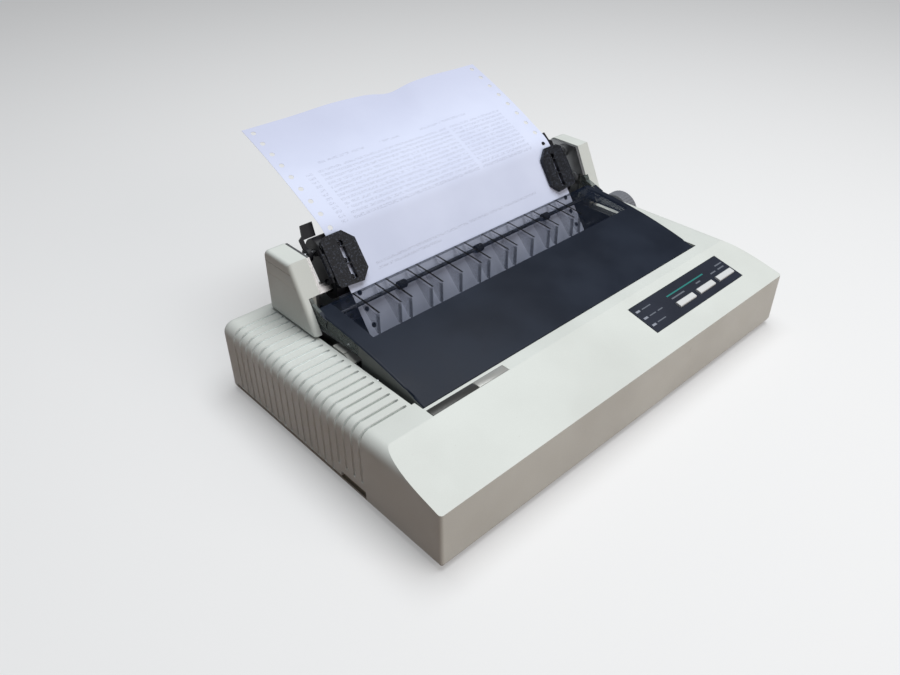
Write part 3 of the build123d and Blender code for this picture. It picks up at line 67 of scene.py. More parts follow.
# ---------------------------------------------------------------- shader helpers
class Value:
    """A number or colour that varies over a surface: one output socket, with the usual arithmetic."""

    def __init__(self, finish, socket):
        self.finish, self.socket = finish, socket

    def math(self, operation, *others):
        sockets = dict(enumerate((self, *others)))
        return self.finish.add("ShaderNodeMath", {"operation": operation}, sockets)

    def __add__(self, other):
        return self.math("ADD", other)

    def __mul__(self, other):
        return self.math("MULTIPLY", other)

    def __sub__(self, other):
        return self.math("SUBTRACT", other)

    def __rsub__(self, other):
        return self.math("MULTIPLY_ADD", -1.0, other)

    def __pow__(self, other):
        return self.math("POWER", other)

    def __abs__(self):
        return self.math("ABSOLUTE")

    def __mod__(self, other):
        return self.math("FLOORED_MODULO", other)

    def above(self, other):
        return self.math("GREATER_THAN", other)

    def below(self, other):
        return self.math("LESS_THAN", other)

    def at_least(self, other):
        return self.math("MAXIMUM", other)

    def at_most(self, other):
        return self.math("MINIMUM", other)

    def between(self, low, high):
        """1 inside a range, 0 outside it."""
        return self.above(low) * self.below(high)

    def ramp(self, low, high, start=0.0, end=1.0):
        """A smooth change from start to end as the value goes from low to high."""
        settings = {"interpolation_type": "SMOOTHSTEP"}
        return self.finish.add("ShaderNodeMapRange", settings, {0: self, 1: low, 2: high, 3: start, 4: end})


class Finish:
    """A procedural material on Object coordinates."""

    def __init__(self, name, **constants):
        self.material = bpy.data.materials.new(name)
        self.material.use_nodes = True
        self.tree = self.material.node_tree
        self.shader = self.tree.nodes["Principled BSDF"]
        for socket, value in constants.items():
            self.shader.inputs[socket.replace("_", " ")].default_value = value
        self.place = self.add("ShaderNodeTexCoord", out="Object")
        self._case_axes = None

    def add(self, kind, settings=None, sockets=None, out=0):
        """Adds a node, sets it up, feeds its sockets and gives one output."""
        node = self.tree.nodes.new(kind)
        for key, value in (settings or {}).items():
            setattr(node, key, value)
        for key, value in (sockets or {}).items():
            if isinstance(value, Value):
                self.tree.links.new(value.socket, node.inputs[key])
            else:
                node.inputs[key].default_value = value
        return Value(self, node.outputs[out])

    def split(self, vector):
        """The three numbers of a vector."""
        first = self.add("ShaderNodeSeparateXYZ", None, {0: vector})
        return [first] + [Value(self, first.socket.node.outputs[i]) for i in (1, 2)]

    def axes(self):
        """X, Y and Z on the case's axes, in millimetres."""
        if self._case_axes is None:
            parts = zip(self.split(self.place), ORIGIN)
            self._case_axes = [(part - start) * PER_METRE for part, start in parts]
        return self._case_axes

    def facing(self):
        """The surface's own normal, as three numbers."""
        return self.split(self.add("ShaderNodeTexCoord", out="Normal"))

    def noise(self, size, detail=2.0, rough=0.5, stretch=None):
        """Noise whose blobs are about this many millimetres across."""
        place = self.place
        if stretch:
            place = self.add("ShaderNodeMapping", None, {"Vector": place, "Scale": stretch})
        sockets = {"Vector": place, "Scale": 1.0 / (size * MM), "Detail": detail, "Roughness": rough}
        return self.add("ShaderNodeTexNoise", None, sockets, "Fac")

    def cells(self, size):
        """The distance to the nearest of points about this many millimetres apart."""
        sockets = {"Vector": self.place, "Scale": 1.0 / (size * MM)}
        return self.add("ShaderNodeTexVoronoi", None, sockets, "Distance")

    def mix(self, factor, first, second):
        """A colour between two colours."""
        settings = {"data_type": "RGBA"}
        return self.add("ShaderNodeMix", settings, {0: factor, 6: first, 7: second}, out=2)

    def feed(self, socket, value):
        self.tree.links.new(value.socket, self.shader.inputs[socket])

    def colour(self, value):
        self.feed("Base Color", value)

    def bump(self, height, depth):
        """Relief of this many millimetres."""
        sockets = {"Height": height, "Distance": depth * MM, "Strength": 1.0}
        self.feed("Normal", self.add("ShaderNodeBump", None, sockets, out="Normal"))


def union(masks):
    """1 wherever any of these masks is 1."""
    whole = None
    for mask in masks:
        whole = mask if whole is None else whole.at_least(mask)
    return whole


def rgb(*parts):
    """A colour from its 0 to 255 numbers on screen, as linear light."""
    linear = [((v / 255 + 0.055) / 1.055) ** 2.4 if v > 10 else v / 255 / 12.92 for v in parts]
    return (*linear, 1.0)


def shade(colour, amount):
    """The same colour, darker or lighter."""
    return (*[v * amount for v in colour[:3]], 1.0)


# ---------------------------------------------------------------- finishes
def moulded(name, colour, rough=0.5, grain=0.35, depth=0.02, stain=0.08, **constants):
    """Moulded plastic: fine spark-eroded grain, slow changes of tone and rubbed patches."""
    f = Finish(name, **constants)
    cloud = f.noise(70, 3.0)
    speck = f.noise(grain, 3.0, 0.6)
    f.colour(f.mix(cloud.ramp(0.3, 0.72) * 0.6 + speck.ramp(0.3, 0.7) * 0.4,
                   shade(colour, 1 - stain), shade(colour, 1 + stain * 0.6)))
    f.feed("Roughness", f.noise(25, 4.0).ramp(0.25, 0.75, rough - 0.07, rough + 0.07))
    f.bump(speck, depth)
    return f


def flecked(name, colour, glint_colour, **constants):
    """Coarse-grained dark plastic, with small pale flecks painted on its grain as glints of light."""
    f = Finish(name, **constants)
    speck = f.noise(1.3, 3.0, 0.7)
    tone = f.mix(f.noise(70, 3.0).ramp(0.3, 0.7), shade(colour, 0.8), shade(colour, 1.2))
    # painted glints: pale flecks where the grain is high
    f.colour(f.mix(speck.ramp(0.5, 0.68) * 0.6, tone, glint_colour))
    f.feed("Roughness", speck.ramp(0.3, 0.7, 0.42, 0.56))
    f.bump(speck, 0.3)
    return f


def case_cream(name="case_cream", seams=(), grooved=False):
    """The case's off-white with grey scuffs, fine seams on its sides, and the cooling grooves painted: shade
    on their floors, light on their walls.
    """
    f = Finish(name, Specular_IOR_Level=0.4)
    x, y, z = f.axes()
    cloud = f.noise(90, 3.0)
    speck = f.noise(0.5, 3.0, 0.6)
    tone = f.mix(cloud.ramp(0.3, 0.7) * 0.7 + speck.ramp(0.3, 0.7) * 0.3, CREAM_LOW, CREAM_HIGH)
    scuff = (f.noise(6, 6.0, 0.7, (1, 3, 1)).ramp(0.66, 0.74) * f.noise(40, 2.0).ramp(0.52, 0.66)) * 0.35
    tone = f.mix(scuff, tone, SCUFF)
    height = speck * 0.03
    for seam, seam_tone in seams:
        line = abs(z - seam).ramp(0.2, 0.45, 1.0, 0.0) * abs(f.facing()[0]).ramp(0.9, 0.97)
        tone = f.mix(line * 0.5, tone, seam_tone)
        height = height - line * 0.25
    if grooved:
        half = GROOVE_PITCH / 2
        groove = abs((y - GROOVE_FIRST + half) % GROOVE_PITCH - half).below(GROOVE_HALF_WIDTH)
        groove = groove * y.between(GROOVE_FIRST - 2, GROOVES_END)
        groove = groove * x.below(GROOVES_INNER_END) * z.above(GROOVES_FOOT)
        inward = (EDGE_MIDDLE[0] - x).at_least(0.0) ** 2 + (z - EDGE_MIDDLE[1]).at_least(0.0) ** 2
        groove = groove * inward.below((EDGE_RADIUS - 0.15) ** 2)
        groove = groove * inward.above((EDGE_RADIUS - GROOVE_DEPTH) ** 2)
        # painted shade darkens the groove floors towards the front; painted light pales their walls, the
        # rear floors and the grooves over the edge
        shaded_floors = f.facing()[2].ramp(0.5, 0.9) * y.ramp(*FLOOR_SHADE_DEPTH, 1.0, 0.0) * x.ramp(*FLOOR_SHADE_ACROSS)
        tone = f.mix(groove, tone, f.mix(shaded_floors, GROOVE_PAINTED_LIGHT, GROOVE_FLOOR_SHADE))
    f.colour(tone)
    f.feed("Roughness", f.noise(30, 4.0).ramp(0.25, 0.75, 0.42, 0.56))
    f.bump(height, 1.0)
    return f


CREAM_LOW = rgb(200, 203, 198)
CREAM_HIGH = rgb(213, 217, 212)
SCUFF = rgb(150, 144, 132)
PALE_SEAM = rgb(228, 226, 218)
# painted shade and painted light for the cooling grooves
GROOVE_FLOOR_SHADE = rgb(158, 163, 157)
GROOVE_PAINTED_LIGHT = rgb(236, 240, 238)
GROOVE_FIRST = 73.3              # y of the front groove's middle
GROOVE_PITCH = 8.08
GROOVE_HALF_WIDTH = 1.3
GROOVE_DEPTH = 2.0
GROOVES_END = 221.0
GROOVES_INNER_END = -150.0
GROOVES_FOOT = 8.6
FLOOR_SHADE_DEPTH = (95.0, 165.0)       # the painted shade on the groove floors fades out from front to back
FLOOR_SHADE_ACROSS = (-183.0, -176.0)   # and sets in away from the side face
EDGE_RADIUS = 9.0
EDGE_MIDDLE = (-179.5, 51.6)     # x and z of the middle of the left edge's round


def metal(name, colour, rough, brush=(1, 1, 1)):
    """Bare metal: fine drawn or ground lines along one way, and dulled patches."""
    f = Finish(name, Metallic=1.0)
    lines = f.noise(0.6, 2.0, 0.6, brush)
    patch = f.noise(18, 4.0)
    f.colour(f.mix(patch.ramp(0.35, 0.7), shade(colour, 0.86), colour))
    f.feed("Roughness", lines.ramp(0.3, 0.7, rough - 0.06, rough + 0.08) + patch.ramp(0.5, 0.75, 0, 0.08))
    f.bump(lines, 0.004)
    return f


def rubber(name, colour):
    """Dull rubber, paler in patches."""
    f = Finish(name, Specular_IOR_Level=0.3)
    speck = f.noise(0.4, 3.0, 0.6)
    f.colour(f.mix(f.noise(12, 4.0).ramp(0.4, 0.7), colour, shade(colour, 1.7)))
    f.feed("Roughness", speck.ramp(0.3, 0.7, 0.7, 0.9))
    f.bump(speck, 0.03)
    return f


def solder_mask():
    """A circuit board: green mask, paler tracks, and tinned pads."""
    f = Finish("board_green", Specular_IOR_Level=0.5)
    bricks = {"Vector": f.place, "Scale": 160.0, "Mortar Size": 0.06}
    track = f.add("ShaderNodeTexBrick", {"offset": 0.5}, bricks) + 0.0       # one number from its colour
    pads = f.cells(3.2).ramp(0.12, 0.18, 1.0, 0.0)
    green = f.mix(track, rgb(24, 92, 52), rgb(16, 66, 40))
    f.colour(f.mix(pads * 0.8, green, rgb(190, 190, 182)))
    f.feed("Roughness", f.noise(9, 3.0).ramp(0.3, 0.7, 0.28, 0.42))
    f.bump(track * 0.5 + pads, 0.04)
    return f


def smoked():
    """The cover's one smoked moulding: satin in front, clear over the window, with thin fins; painted light
    makes the fins pale grey and the side walls and cheeks paler.
    """
    f = Finish("smoked_plastic", Specular_IOR_Level=0.2)
    x, y, z = f.axes()
    side = abs(f.facing()[0]).above(0.8)
    from_middle = (y - CROWN_MIDDLE[0]) ** 2 + (z - CROWN_MIDDLE[1]) ** 2
    skin = from_middle.above((CROWN_RADIUS - 0.5) ** 2)
    off_middle = abs(x - COVER_MIDDLE)
    window = y.ramp(WINDOW_FRONT - 0.3, WINDOW_FRONT + 0.3) * x.between(*WINDOW_SIDES) * (1 - side)
    top = window * skin
    under = window * (1 - skin)
    edge_band = window * x.above(EDGE_BAND)
    rear_edge = window * y.above(REAR_EDGE)
    fin = y.above(FIN_FRONT) * side * abs(x - FINS_MIDDLE).below(FINS_REACH)
    fin_root = under * y.between(FIN_FRONT - 0.1, FIN_ROOT_END) * z.below(FIN_ROOT_TOP)
    fin_front = fin * y.below(FIN_ROOT_END) + fin_root
    cheek = y.above(WINDOW_FRONT) * off_middle.above(CHEEK_REACH) * (1 - window) * z.above(CHEEK_FOOT)
    cheek = cheek * side.at_least(z.above(CHEEK_CREST))
    outer = side * off_middle.above(OUTER_REACH) * y.below(WINDOW_FRONT)
    stripe = union(abs(x - (FIN_FIRST + step * FIN_PITCH)).below(STRIPE_HALF_WIDTH) for step in FIN_STEPS)
    stripe = stripe * y.above(FIN_FRONT + 0.1) * top
    tone = f.mix(f.noise(60, 3.0).ramp(0.3, 0.7), SMOKE_LOW, SMOKE_HIGH)
    # painted light: the outer side walls and the cheeks are painted paler than the smoke, and the fins pale
    # grey
    tone = f.mix(outer, tone, SMOKE_SIDE_PAINTED_LIGHT)
    tone = f.mix(fin, tone, FIN_PAINTED_LIGHT)
    tone = f.mix(window, tone, SMOKE_CLEAR)
    tone = f.mix(cheek, tone, SMOKE_CHEEK_PAINTED_LIGHT)
    tone = f.mix(fin_front, tone, SMOKE_CLEAR)
    f.colour(f.mix(stripe, tone, rgb(8, 9, 12)))
    alpha = 1 - top * 0.7 - under * 0.93 - fin * 0.8 - cheek * 0.45
    alpha = alpha + edge_band * 0.25 + fin_front * 0.3 + rear_edge * 0.5
    f.feed("Alpha", alpha.at_least(stripe * 0.95).at_most(1.0))
    f.feed("Roughness", (f.noise(30, 4.0).ramp(0.3, 0.7, 0.4, 0.5) - window * 0.28).at_least(0.12))
    f.bump(f.noise(0.45, 3.0, 0.6) * (1 - window), 0.012)
    return f


CROWN_MIDDLE = (194.86, -389.05)     # y and z of the middle of the arc that the cover's top follows
CROWN_RADIUS = 468.91
COVER_MIDDLE = 5.2
WINDOW_FRONT = 128.6
WINDOW_SIDES = (-131.5, 148.5)
EDGE_BAND = 136.0                # x from which the window is darker
REAR_EDGE = 176.3
CHEEK_REACH = 142.5              # from the cover's middle to its cheeks, and to its outer sides
OUTER_REACH = 149.0
CHEEK_FOOT = 66.5
CHEEK_CREST = 80.2
FINS_MIDDLE = 6.75
FINS_REACH = 137.0
FIN_FRONT = 145.9
FIN_ROOT_END = FIN_FRONT + 3.4
FIN_ROOT_TOP = 73.5
STRIPE_HALF_WIDTH = 0.8
FIN_FIRST = -112.2
FIN_PITCH = 10.0
FIN_STEPS = (0, 2, 3, 5, 6, 8, 10, 11, 13, 14, 16, 18, 19, 21, 22)
SMOKE_LOW = rgb(20, 26, 38)
SMOKE_HIGH = rgb(29, 36, 49)
# painted light for the side walls, cheeks and fins
SMOKE_SIDE_PAINTED_LIGHT = rgb(96, 100, 98)
SMOKE_CLEAR = rgb(26, 34, 50)
SMOKE_CHEEK_PAINTED_LIGHT = rgb(106, 114, 112)
FIN_PAINTED_LIGHT = rgb(140, 147, 163)


def panel_film():
    """The control panel's navy film, with its printed line and plain label bars."""
    f = Finish("panel_navy", Specular_IOR_Level=0.5)
    x, y, z = f.axes()
    along = y * math.cos(SLOPE) + (z - FRONT_HEIGHT) * math.sin(SLOPE)
    line, *labels = [x.between(x0, x1) * along.between(s0, s1)
                     for x0, x1, s0, s1 in (PRINTED_LINE, *LABEL_BARS)]
    label = union(labels)
    speck = f.noise(0.3, 2.0)
    tone = f.mix(f.noise(30, 3.0).ramp(0.3, 0.7), rgb(24, 29, 42), rgb(31, 36, 50))
    tone = f.mix(label * 0.42, tone, rgb(150, 156, 166))
    f.colour(f.mix(line, tone, rgb(38, 122, 116)))
    f.feed("Roughness", speck.ramp(0.3, 0.7, 0.34, 0.44))
    f.bump(speck + (line + label) * 0.5, 0.01)
    return f


# the printed line, and plain bars that stand for the labels: x from, to, and along the slope from, to
PRINTED_LINE = (78.8, 128.0, 38.1, 39.3)
LABEL_BARS = ((50.0, 60.5, 40.4, 41.3), (50.0, 57.5, 32.7, 33.6), (60.0, 66.0, 32.7, 33.6),
              (50.0, 60.0, 25.1, 26.0), (80.5, 97.0, 34.2, 35.4), (113.0, 119.0, 34.2, 35.4),
              (134.0, 141.0, 34.2, 35.4), (144.5, 153.0, 34.2, 35.4), (145.5, 155.0, 38.0, 39.2))
FRONT_HEIGHT = 47.4
DECK_HEIGHT = 60.6
SLOPE_DEPTH = 53.9
SLOPE = math.atan2(DECK_HEIGHT - FRONT_HEIGHT, SLOPE_DEPTH)


def lamp_lens():
    """A status lamp's cloudy lens, unlit."""
    f = Finish("led_lens", Specular_IOR_Level=0.5)
    f.colour(f.mix(f.noise(1.5, 2.0), rgb(164, 168, 178), rgb(122, 127, 138)))
    f.feed("Roughness", f.noise(2.0, 2.0).ramp(0.3, 0.7, 0.2, 0.32))
    return f


def listing_paper():
    """Fanfold paper: soft fibres, faint grey print in rows and columns, on the sheet's own UV map."""
    f = Finish("paper_white", Specular_IOR_Level=0.15, Sheen_Weight=0.1)
    sheet = f.add("ShaderNodeUVMap", {"uv_map": "sheet"}, out="UV")
    across, along = [part * PER_METRE for part in f.split(sheet)[:2]]
    row = union(along.between(low, high) * across.between(x0, x1)
                * ((along - low) % ROW_PITCH).below(LETTER_HEIGHT) for low, high, x0, x1 in PRINT_ROWS)
    glyph = f.add("ShaderNodeTexNoise", None, {"Vector": sheet, "Scale": 1100.0, "Detail": 1.0}, "Fac")
    word = f.add("ShaderNodeTexNoise", None, {"Vector": sheet, "Scale": 300.0, "Detail": 1.0}, "Fac")
    dots = (across % LETTER_PITCH).below(LETTER_WIDTH) * (along % DOT_PITCH).below(DOT_SIZE)
    dots = dots.at_least(0.35)
    ink = row * glyph.ramp(0.45, 0.55) * word.ramp(0.34, 0.44) * dots
    fibre = f.noise(0.8, 4.0, 0.7)
    tone = f.mix(f.noise(50, 3.0).ramp(0.3, 0.7) * 0.6 + fibre * 0.4, PAPER_LOW, PAPER_HIGH)
    tone = f.mix(along.ramp(*SHADED) * 0.55, tone, PAPER_TOP)
    f.colour(f.mix(ink * 0.44, tone, rgb(112, 112, 126)))
    f.feed("Roughness", fibre.ramp(0.3, 0.7, 0.8, 0.95))
    f.bump(fibre, 0.03)
    return f


PAPER_LOW = rgb(202, 208, 229)
PAPER_HIGH = rgb(212, 218, 238)
PAPER_TOP = rgb(178, 181, 202)
SHADED = (120.0, 191.0)          # along the sheet, its tone goes over to the top's
ROW_PITCH = 4.24
LETTER_HEIGHT = 2.5
LETTER_PITCH = 1.27
LETTER_WIDTH = 0.7
DOT_PITCH = 0.36
DOT_SIZE = 0.25
# blocks of print: along the sheet from the platen's tangent (from, to), and across from x to x
PRINT_ROWS = ((137.6, 139.8, -79.0, -34.0), (137.6, 139.8, -22.0, 1.0), (137.6, 139.8, 22.0, 74.0),
              (82.9, 131.8, -95.0, -89.5), (82.9, 131.8, -84.0, 45.0), (82.9, 131.8, 49.0, 108.0),
              (46.2, 48.3, -83.0, 92.0), (42.3, 44.4, -83.0, -20.0))


def ribbon_cloth():
    """Inked cloth, with its weave."""
    f = Finish("ribbon_cloth", Specular_IOR_Level=0.1)
    x, y, z = f.axes()
    weave = ((x % 0.5).below(0.25) + (z % 0.5).below(0.25)) * 0.5
    f.colour(f.mix(weave, rgb(14, 14, 18), rgb(30, 30, 36)))
    f.feed("Roughness", weave.ramp(0.0, 1.0, 0.8, 0.95))
    f.bump(weave, 0.05)
    return f


def laminations():
    """Varnished iron sheets, stacked, in mottled brown."""
    f = Finish("core_iron", Specular_IOR_Level=0.4)
    x, y, z = f.axes()
    sheets = (z % 0.7).below(0.12)
    f.colour(f.mix(sheets, f.mix(f.noise(8, 3.0), rgb(92, 84, 78), rgb(70, 62, 56)), rgb(30, 26, 24)))
    f.feed("Roughness", f.noise(4, 3.0).ramp(0.3, 0.7, 0.4, 0.6))
    f.bump(sheets * -1.0, 0.1)
    return f


def badge(name, colour):
    """A plain anodised badge plate, with nothing on it."""
    f = Finish(name, Metallic=0.3)
    lines = f.noise(0.5, 2.0, 0.6, (0.05, 1, 1))
    f.colour(f.mix(lines, shade(colour, 0.92), shade(colour, 1.05)))
    f.feed("Roughness", lines.ramp(0.3, 0.7, 0.3, 0.42))
    f.bump(lines, 0.006)
    return f


ALONG_X = (0.03, 1, 1)
FINISHES = {
    "case_cream": case_cream(grooved=True),
    "base_taupe": moulded("base_taupe", rgb(150, 142, 130), 0.55),
    "foot_rubber": rubber("foot_rubber", rgb(34, 34, 34)),
    "plated_steel": metal("plated_steel", rgb(172, 174, 176), 0.38, (1, 0.05, 1)),
    "panel_navy": panel_film(),
    "led_lens": lamp_lens(),
    "board_green": solder_mask(),
    "core_iron": laminations(),
    "black_plastic": moulded("black_plastic", rgb(22, 22, 27), 0.5, 0.5, 0.05, 0.15, Specular_IOR_Level=0.3),
    "bright_steel": metal("bright_steel", rgb(196, 198, 202), 0.2, ALONG_X),
    "square_bar": metal("square_bar", rgb(188, 190, 193), 0.32, ALONG_X),
    "platen_rubber": rubber("platen_rubber", rgb(30, 31, 34)),
    "knob_grey": moulded("knob_grey", rgb(113, 115, 121), 0.5, 0.4, 0.03),
    "lever_grey": moulded("lever_grey", rgb(186, 186, 180), 0.48, 0.4, 0.02),
    "gear_white": moulded("gear_white", rgb(222, 220, 210), 0.4, 0.6, 0.01, 0.04),
    "motor_steel": metal("motor_steel", rgb(120, 122, 126), 0.42),
    "pan_steel": metal("pan_steel", rgb(128, 130, 132), 0.42, ALONG_X),
    "paper_white": listing_paper(),
    "smoked_plastic": smoked(),
    "head_aluminium": metal("head_aluminium", rgb(150, 152, 156), 0.45),
    "guide_steel": metal("guide_steel", rgb(190, 192, 194), 0.28, (1, 1, 0.05)),
    "belt_rubber": rubber("belt_rubber", rgb(26, 26, 28)),
    "ribbon_cloth": ribbon_cloth(),
}
EAR_SEAMS = ((94.0, PALE_SEAM), (103.3, SCUFF))       # height and tone of each
ear_finish = case_cream("ear_cream", EAR_SEAMS)
# the doors' pale flecks are painted glints
door_finish = flecked("door_black", rgb(12, 14, 20), rgb(82, 88, 102), Specular_IOR_Level=0.3)
button_finish = moulded("button_pale", rgb(208, 210, 210), 0.42, 0.4, 0.015, 0.04)
bail_finish = metal("bail_steel", rgb(72, 74, 80), 0.4, ALONG_X)
roller_finish = rubber("bail_rubber", rgb(16, 16, 19))

SLOT_OF = {part["node"]: part.get("material_slot") or part.get("slot")
           for part in frame["record"]["subparts"]}


def dress(piece, finish):
    """Gives a piece, or a CAD node, one finish all over."""
    piece.data.materials.clear()
    piece.data.materials.append(finish.material)


for node, thing in frame["nodes"].items():
    dress(thing, FINISHES[SLOT_OF[node]])
for node in ("left_tractor_cover", "right_tractor_cover"):
    dress(frame["nodes"][node], ear_finish)
for node in ("left_tractor_door", "right_tractor_door"):
    dress(frame["nodes"][node], door_finish)
dress(frame["nodes"]["bail_shaft"], bail_finish)
dress(frame["nodes"]["bail_rollers"], roller_finish)
for node in ("online_button", "line_feed_button", "form_feed_button"):
    dress(frame["nodes"][node], button_finish)


# ---------------------------------------------------------------- modelling helpers
def settle(piece, name, finish):
    """Puts a finished piece's place in its mesh, names it, dresses it and lets it ride on the base."""
    bpy.ops.object.mode_set(mode="OBJECT")
    bpy.ops.object.select_all(action="DESELECT")
    piece.select_set(True)
    bpy.context.view_layer.objects.active = piece
    bpy.ops.object.transform_apply(location=True, rotation=True, scale=True)
    piece.name = piece.data.name = name
    dress(piece, finish)
    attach(piece, "printer_base")
    piece.select_set(False)


def cube(x0, x1, y0, y1, z0, z1):
    """A cube primitive between two corners, in millimetres on the case's axes."""
    middle = at((x0 + x1) / 2, (y0 + y1) / 2, (z0 + z1) / 2)
    bpy.ops.mesh.primitive_cube_add(size=1, location=middle,
                                    scale=((x1 - x0) * MM, (y1 - y0) * MM, (z1 - z0) * MM))
    bpy.ops.object.transform_apply(location=True, rotation=True, scale=True)
    return bpy.context.active_object


def finish_modifier(piece, kind, **settings):
    """Adds a modifier with these settings and applies it."""
    modifier = piece.modifiers.new(kind.lower(), kind)
    for key, value in settings.items():
        setattr(modifier, key, value)
    bpy.context.view_layer.objects.active = piece
    bpy.ops.object.modifier_apply(modifier=modifier.name)


# ---------------------------------------------------------------- paper
PLATEN = (171.0, 41.0)           # y and z of the platen's axis
WRAP_RADIUS = 15.8
WRAP = math.radians(200)         # how far the sheet goes round the platen
FEED = math.radians(55)          # the sheet's lean where it leaves the platen
TANGENT = (PLATEN[0] - WRAP_RADIUS * math.sin(FEED), PLATEN[1] + WRAP_RADIUS * math.cos(FEED))
STRAIGHT = 78.0
BEND_RADIUS = 30.0
BEND = math.radians(26)
TOP_RADIUS = 900.0
SHEET_TOP = 191.4
SHEET_LOW = -88.0
SHEET_THICKNESS = 0.16
PAPER_MIDDLE = 8.6
PAPER_WIDTH = 241.3
HOLE_PITCH = 12.7
HOLE_COLUMN = 114.3              # from the sheet's middle
HOLES_A_SIDE = 22
HOLE_RADIUS = 2.0
LOOSE_FROM = 110.0               # the sheet starts to sag here along its course
LOOSE_LENGTH = 80.0
MEAN_SAG = 1.3
SAGS = ((-30.0, 28.0, -1.3), (30.0, 17.0, 3.9), (80.0, 20.0, -0.7))    # middle, width, extra sag


def sheet_point(along, out):
    """Y and Z of a place on the paper: along it from the platen's tangent, and out of its face."""
    if along <= 0:
        turn = min(-along / WRAP_RADIUS, WRAP)
        angle = FEED + math.pi / 2 + turn
        y = PLATEN[0] + (WRAP_RADIUS + out) * math.cos(angle)
        z = PLATEN[1] + (WRAP_RADIUS + out) * math.sin(angle)
        tail = max(0.0, -along - WRAP * WRAP_RADIUS)
        return y - tail * math.sin(angle), z + tail * math.cos(angle)
    lean = FEED
    y, z = TANGENT
    for length, radius in ((STRAIGHT, None), (BEND * BEND_RADIUS, BEND_RADIUS), (1000.0, TOP_RADIUS)):
        run = min(along, length)
        if radius is None:
            y, z = y + run * math.cos(lean), z + run * math.sin(lean)
        else:
            turn = run / radius
            y += radius * (math.sin(lean) - math.sin(lean - turn))
            z += radius * (math.cos(lean - turn) - math.cos(lean))
            lean -= turn
        along -= run
        if along <= 0:
            break
    return y - out * math.sin(lean), z + out * math.cos(lean)


def sag(x):
    """How far the sheet's loose top edge hangs below its flat course, across the sheet."""
    return MEAN_SAG + sum(extra * math.exp(-((x - middle) / width) ** 2) for middle, width, extra in SAGS)


def make_paper():
    """One sheet: a flat grid with two rows of holes cut, then bent along the paper's path."""
    length = SHEET_TOP - SHEET_LOW
    bpy.ops.mesh.primitive_grid_add(x_subdivisions=48, y_subdivisions=110, size=1)
    sheet = bpy.context.active_object
    sheet.scale = (PAPER_WIDTH, length, 1)
    sheet.location = (PAPER_MIDDLE, (SHEET_TOP + SHEET_LOW) / 2, -SHEET_THICKNESS / 2)
    bpy.ops.object.transform_apply(location=True, rotation=True, scale=True)
    finish_modifier(sheet, "SOLIDIFY", thickness=SHEET_THICKNESS, offset=1.0)
    punches = []
    for column in (-HOLE_COLUMN, HOLE_COLUMN):
        for row in range(HOLES_A_SIDE):
            place = (PAPER_MIDDLE + column, SHEET_TOP - (row + 0.5) * HOLE_PITCH, 0)
            bpy.ops.mesh.primitive_cylinder_add(vertices=20, radius=HOLE_RADIUS, depth=4, location=place)
            punches.append(bpy.context.active_object)
    for punch in punches:
        punch.select_set(True)
    bpy.ops.object.join()
    punch = bpy.context.active_object
    finish_modifier(sheet, "BOOLEAN", object=punch)
    bpy.data.objects.remove(punch)
    mesh = sheet.data
    for layer in list(mesh.uv_layers):
        mesh.uv_layers.remove(layer)
    layer = mesh.uv_layers.new(name="sheet")
    for loop in mesh.loops:
        layer.data[loop.index].uv = mesh.vertices[loop.vertex_index].co.xy * MM
    for vertex in mesh.vertices:
        x, along, out = vertex.co
        y, z = sheet_point(along, out)
        vertex.co = at(x, y, z - sag(x) * max(0.0, (along - LOOSE_FROM) / LOOSE_LENGTH) ** 2)
    bpy.ops.object.select_all(action="DESELECT")
    sheet.select_set(True)
    bpy.context.view_layer.objects.active = sheet
    bpy.ops.object.shade_smooth_by_angle(angle=math.radians(30))
    settle(sheet, "listing_sheet", FINISHES["paper_white"])
    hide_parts("fanfold_paper")


make_paper()


# ---------------------------------------------------------------- badge plates
def make_plate(name, x0, x1, finish):
    """A thin plate with rounded corners and a broken edge, let into the case."""
    piece = cube(x0, x1, *PLATE_DEPTH, *PLATE_HEIGHT)
    bpy.ops.object.mode_set(mode="EDIT")
    bpy.ops.mesh.select_all(action="DESELECT")
    grid = bmesh.from_edit_mesh(piece.data)
    for corner in grid.edges:
        a, b = corner.verts
        corner.select = abs(a.co.z - b.co.z) > abs(a.co.x - b.co.x) + abs(a.co.y - b.co.y)
    bmesh.update_edit_mesh(piece.data)
    bpy.ops.mesh.bevel(offset=PLATE_CORNER * MM, segments=4)
    bpy.ops.object.mode_set(mode="OBJECT")
    finish_modifier(piece, "BEVEL", width=PLATE_EDGE * MM, segments=2, limit_method="ANGLE",
                    angle_limit=math.radians(50))
    bpy.ops.object.shade_smooth_by_angle(angle=math.radians(40))
    settle(piece, name, finish)


PLATE_DEPTH = (54.6, 61.0)
PLATE_HEIGHT = (60.1, 60.75)
PLATE_CORNER = 0.8
PLATE_EDGE = 0.3
make_plate("badge_plate_dark", -144.5, -104.7, badge("badge_dark", rgb(62, 62, 60)))
make_plate("badge_plate_light", -104.3, -77.4, badge("badge_light", rgb(168, 168, 164)))


# ---------------------------------------------------------------- camera, floor and light
CAMERA_PLACE = (-382.66, -219.00, 378.48)
CAMERA_VIEW = Vector((0.55197, 0.59789, -0.58125)).normalized()
CAMERA_RIGHT = Vector((0.73188, -0.68140, -0.00589)).normalized()
FOCAL_PIXELS = 781.97
PICTURE_PIXELS = 900
SENSOR = 36.0


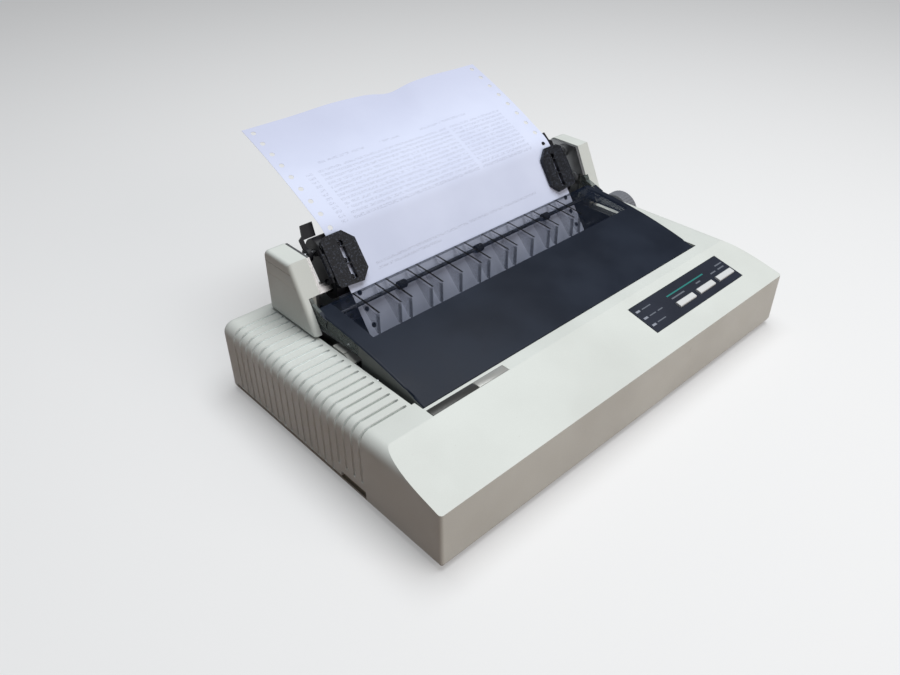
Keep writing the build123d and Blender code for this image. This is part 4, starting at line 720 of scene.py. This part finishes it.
def make_camera():
    """The camera that was fitted to the measured places of the picture."""
    bpy.ops.object.camera_add()
    camera = bpy.context.active_object
    camera.data.sensor_width = SENSOR
    camera.data.lens = SENSOR * FOCAL_PIXELS / PICTURE_PIXELS
    up = CAMERA_RIGHT.cross(CAMERA_VIEW)
    turn = Matrix((CAMERA_RIGHT, up, -CAMERA_VIEW)).transposed().to_4x4()
    camera.matrix_world = Matrix.Translation(at(*CAMERA_PLACE)) @ turn
    bpy.context.scene.camera = camera


FLOOR_SHOWN = rgb(196, 196, 196)
FLOOR_BOUNCE = rgb(128, 98, 76)
FLOOR_SIZE = 12
SKY_LIGHT = (0.13, 0.135, 0.145, 1)
SKY_SHOWN = (0.86, 0.86, 0.86, 1)


def make_floor():
    """A pale floor, which throws warm light like a wooden table's on the sides."""
    bpy.ops.mesh.primitive_plane_add(size=FLOOR_SIZE, location=(0, 0, 0))
    floor = bpy.context.active_object
    floor.name = "floor"
    f = Finish("floor_pale", Roughness=0.9, Specular_IOR_Level=0.1, Emission_Strength=0.28)
    seen = f.add("ShaderNodeLightPath", out="Is Camera Ray")
    glossy = Value(f, seen.socket.node.outputs["Is Glossy Ray"])
    through = Value(f, seen.socket.node.outputs["Is Transmission Ray"])
    shown = seen.at_least(glossy).at_least(through)
    f.colour(f.mix(shown, FLOOR_BOUNCE, FLOOR_SHOWN))
    f.feed("Emission Color", f.mix(shown, (0, 0, 0, 1), (1, 1, 1, 1)))
    dress(floor, f)


def make_world():
    """A dim sky, which the camera sees pale."""
    world = bpy.data.worlds.new("studio")
    bpy.context.scene.world = world
    world.use_nodes = True
    tree = world.node_tree
    back = tree.nodes["Background"]
    paths = tree.nodes.new("ShaderNodeLightPath")
    mix = tree.nodes.new("ShaderNodeMix")
    mix.data_type = "RGBA"
    mix.inputs[6].default_value = SKY_LIGHT
    mix.inputs[7].default_value = SKY_SHOWN
    tree.links.new(paths.outputs["Is Camera Ray"], mix.inputs[0])
    tree.links.new(mix.outputs[2], back.inputs["Color"])


def make_lamp(name, place, size, power, colour):
    """An area lamp that looks at the printer's middle."""
    bpy.ops.object.light_add(type="AREA", location=at(*place))
    lamp = bpy.context.active_object
    lamp.name = name
    lamp.data.shape = "RECTANGLE"
    lamp.data.size, lamp.data.size_y = size
    lamp.data.energy = power
    lamp.data.color = colour
    lamp.rotation_euler = (at(*LAMP_TARGET) - at(*place)).to_track_quat("-Z", "Y").to_euler()


LAMP_TARGET = (0, 100, 40)
make_camera()
make_floor()
make_world()
make_lamp("overhead", (150, 60, 1500), (1.2, 1.0), 22, (0.96, 0.985, 1.0))
make_lamp("front_fill", (350, -1350, 700), (1.0, 0.8), 9, (1.0, 0.93, 0.88))

bpy.context.scene.view_settings.view_transform = "Standard"
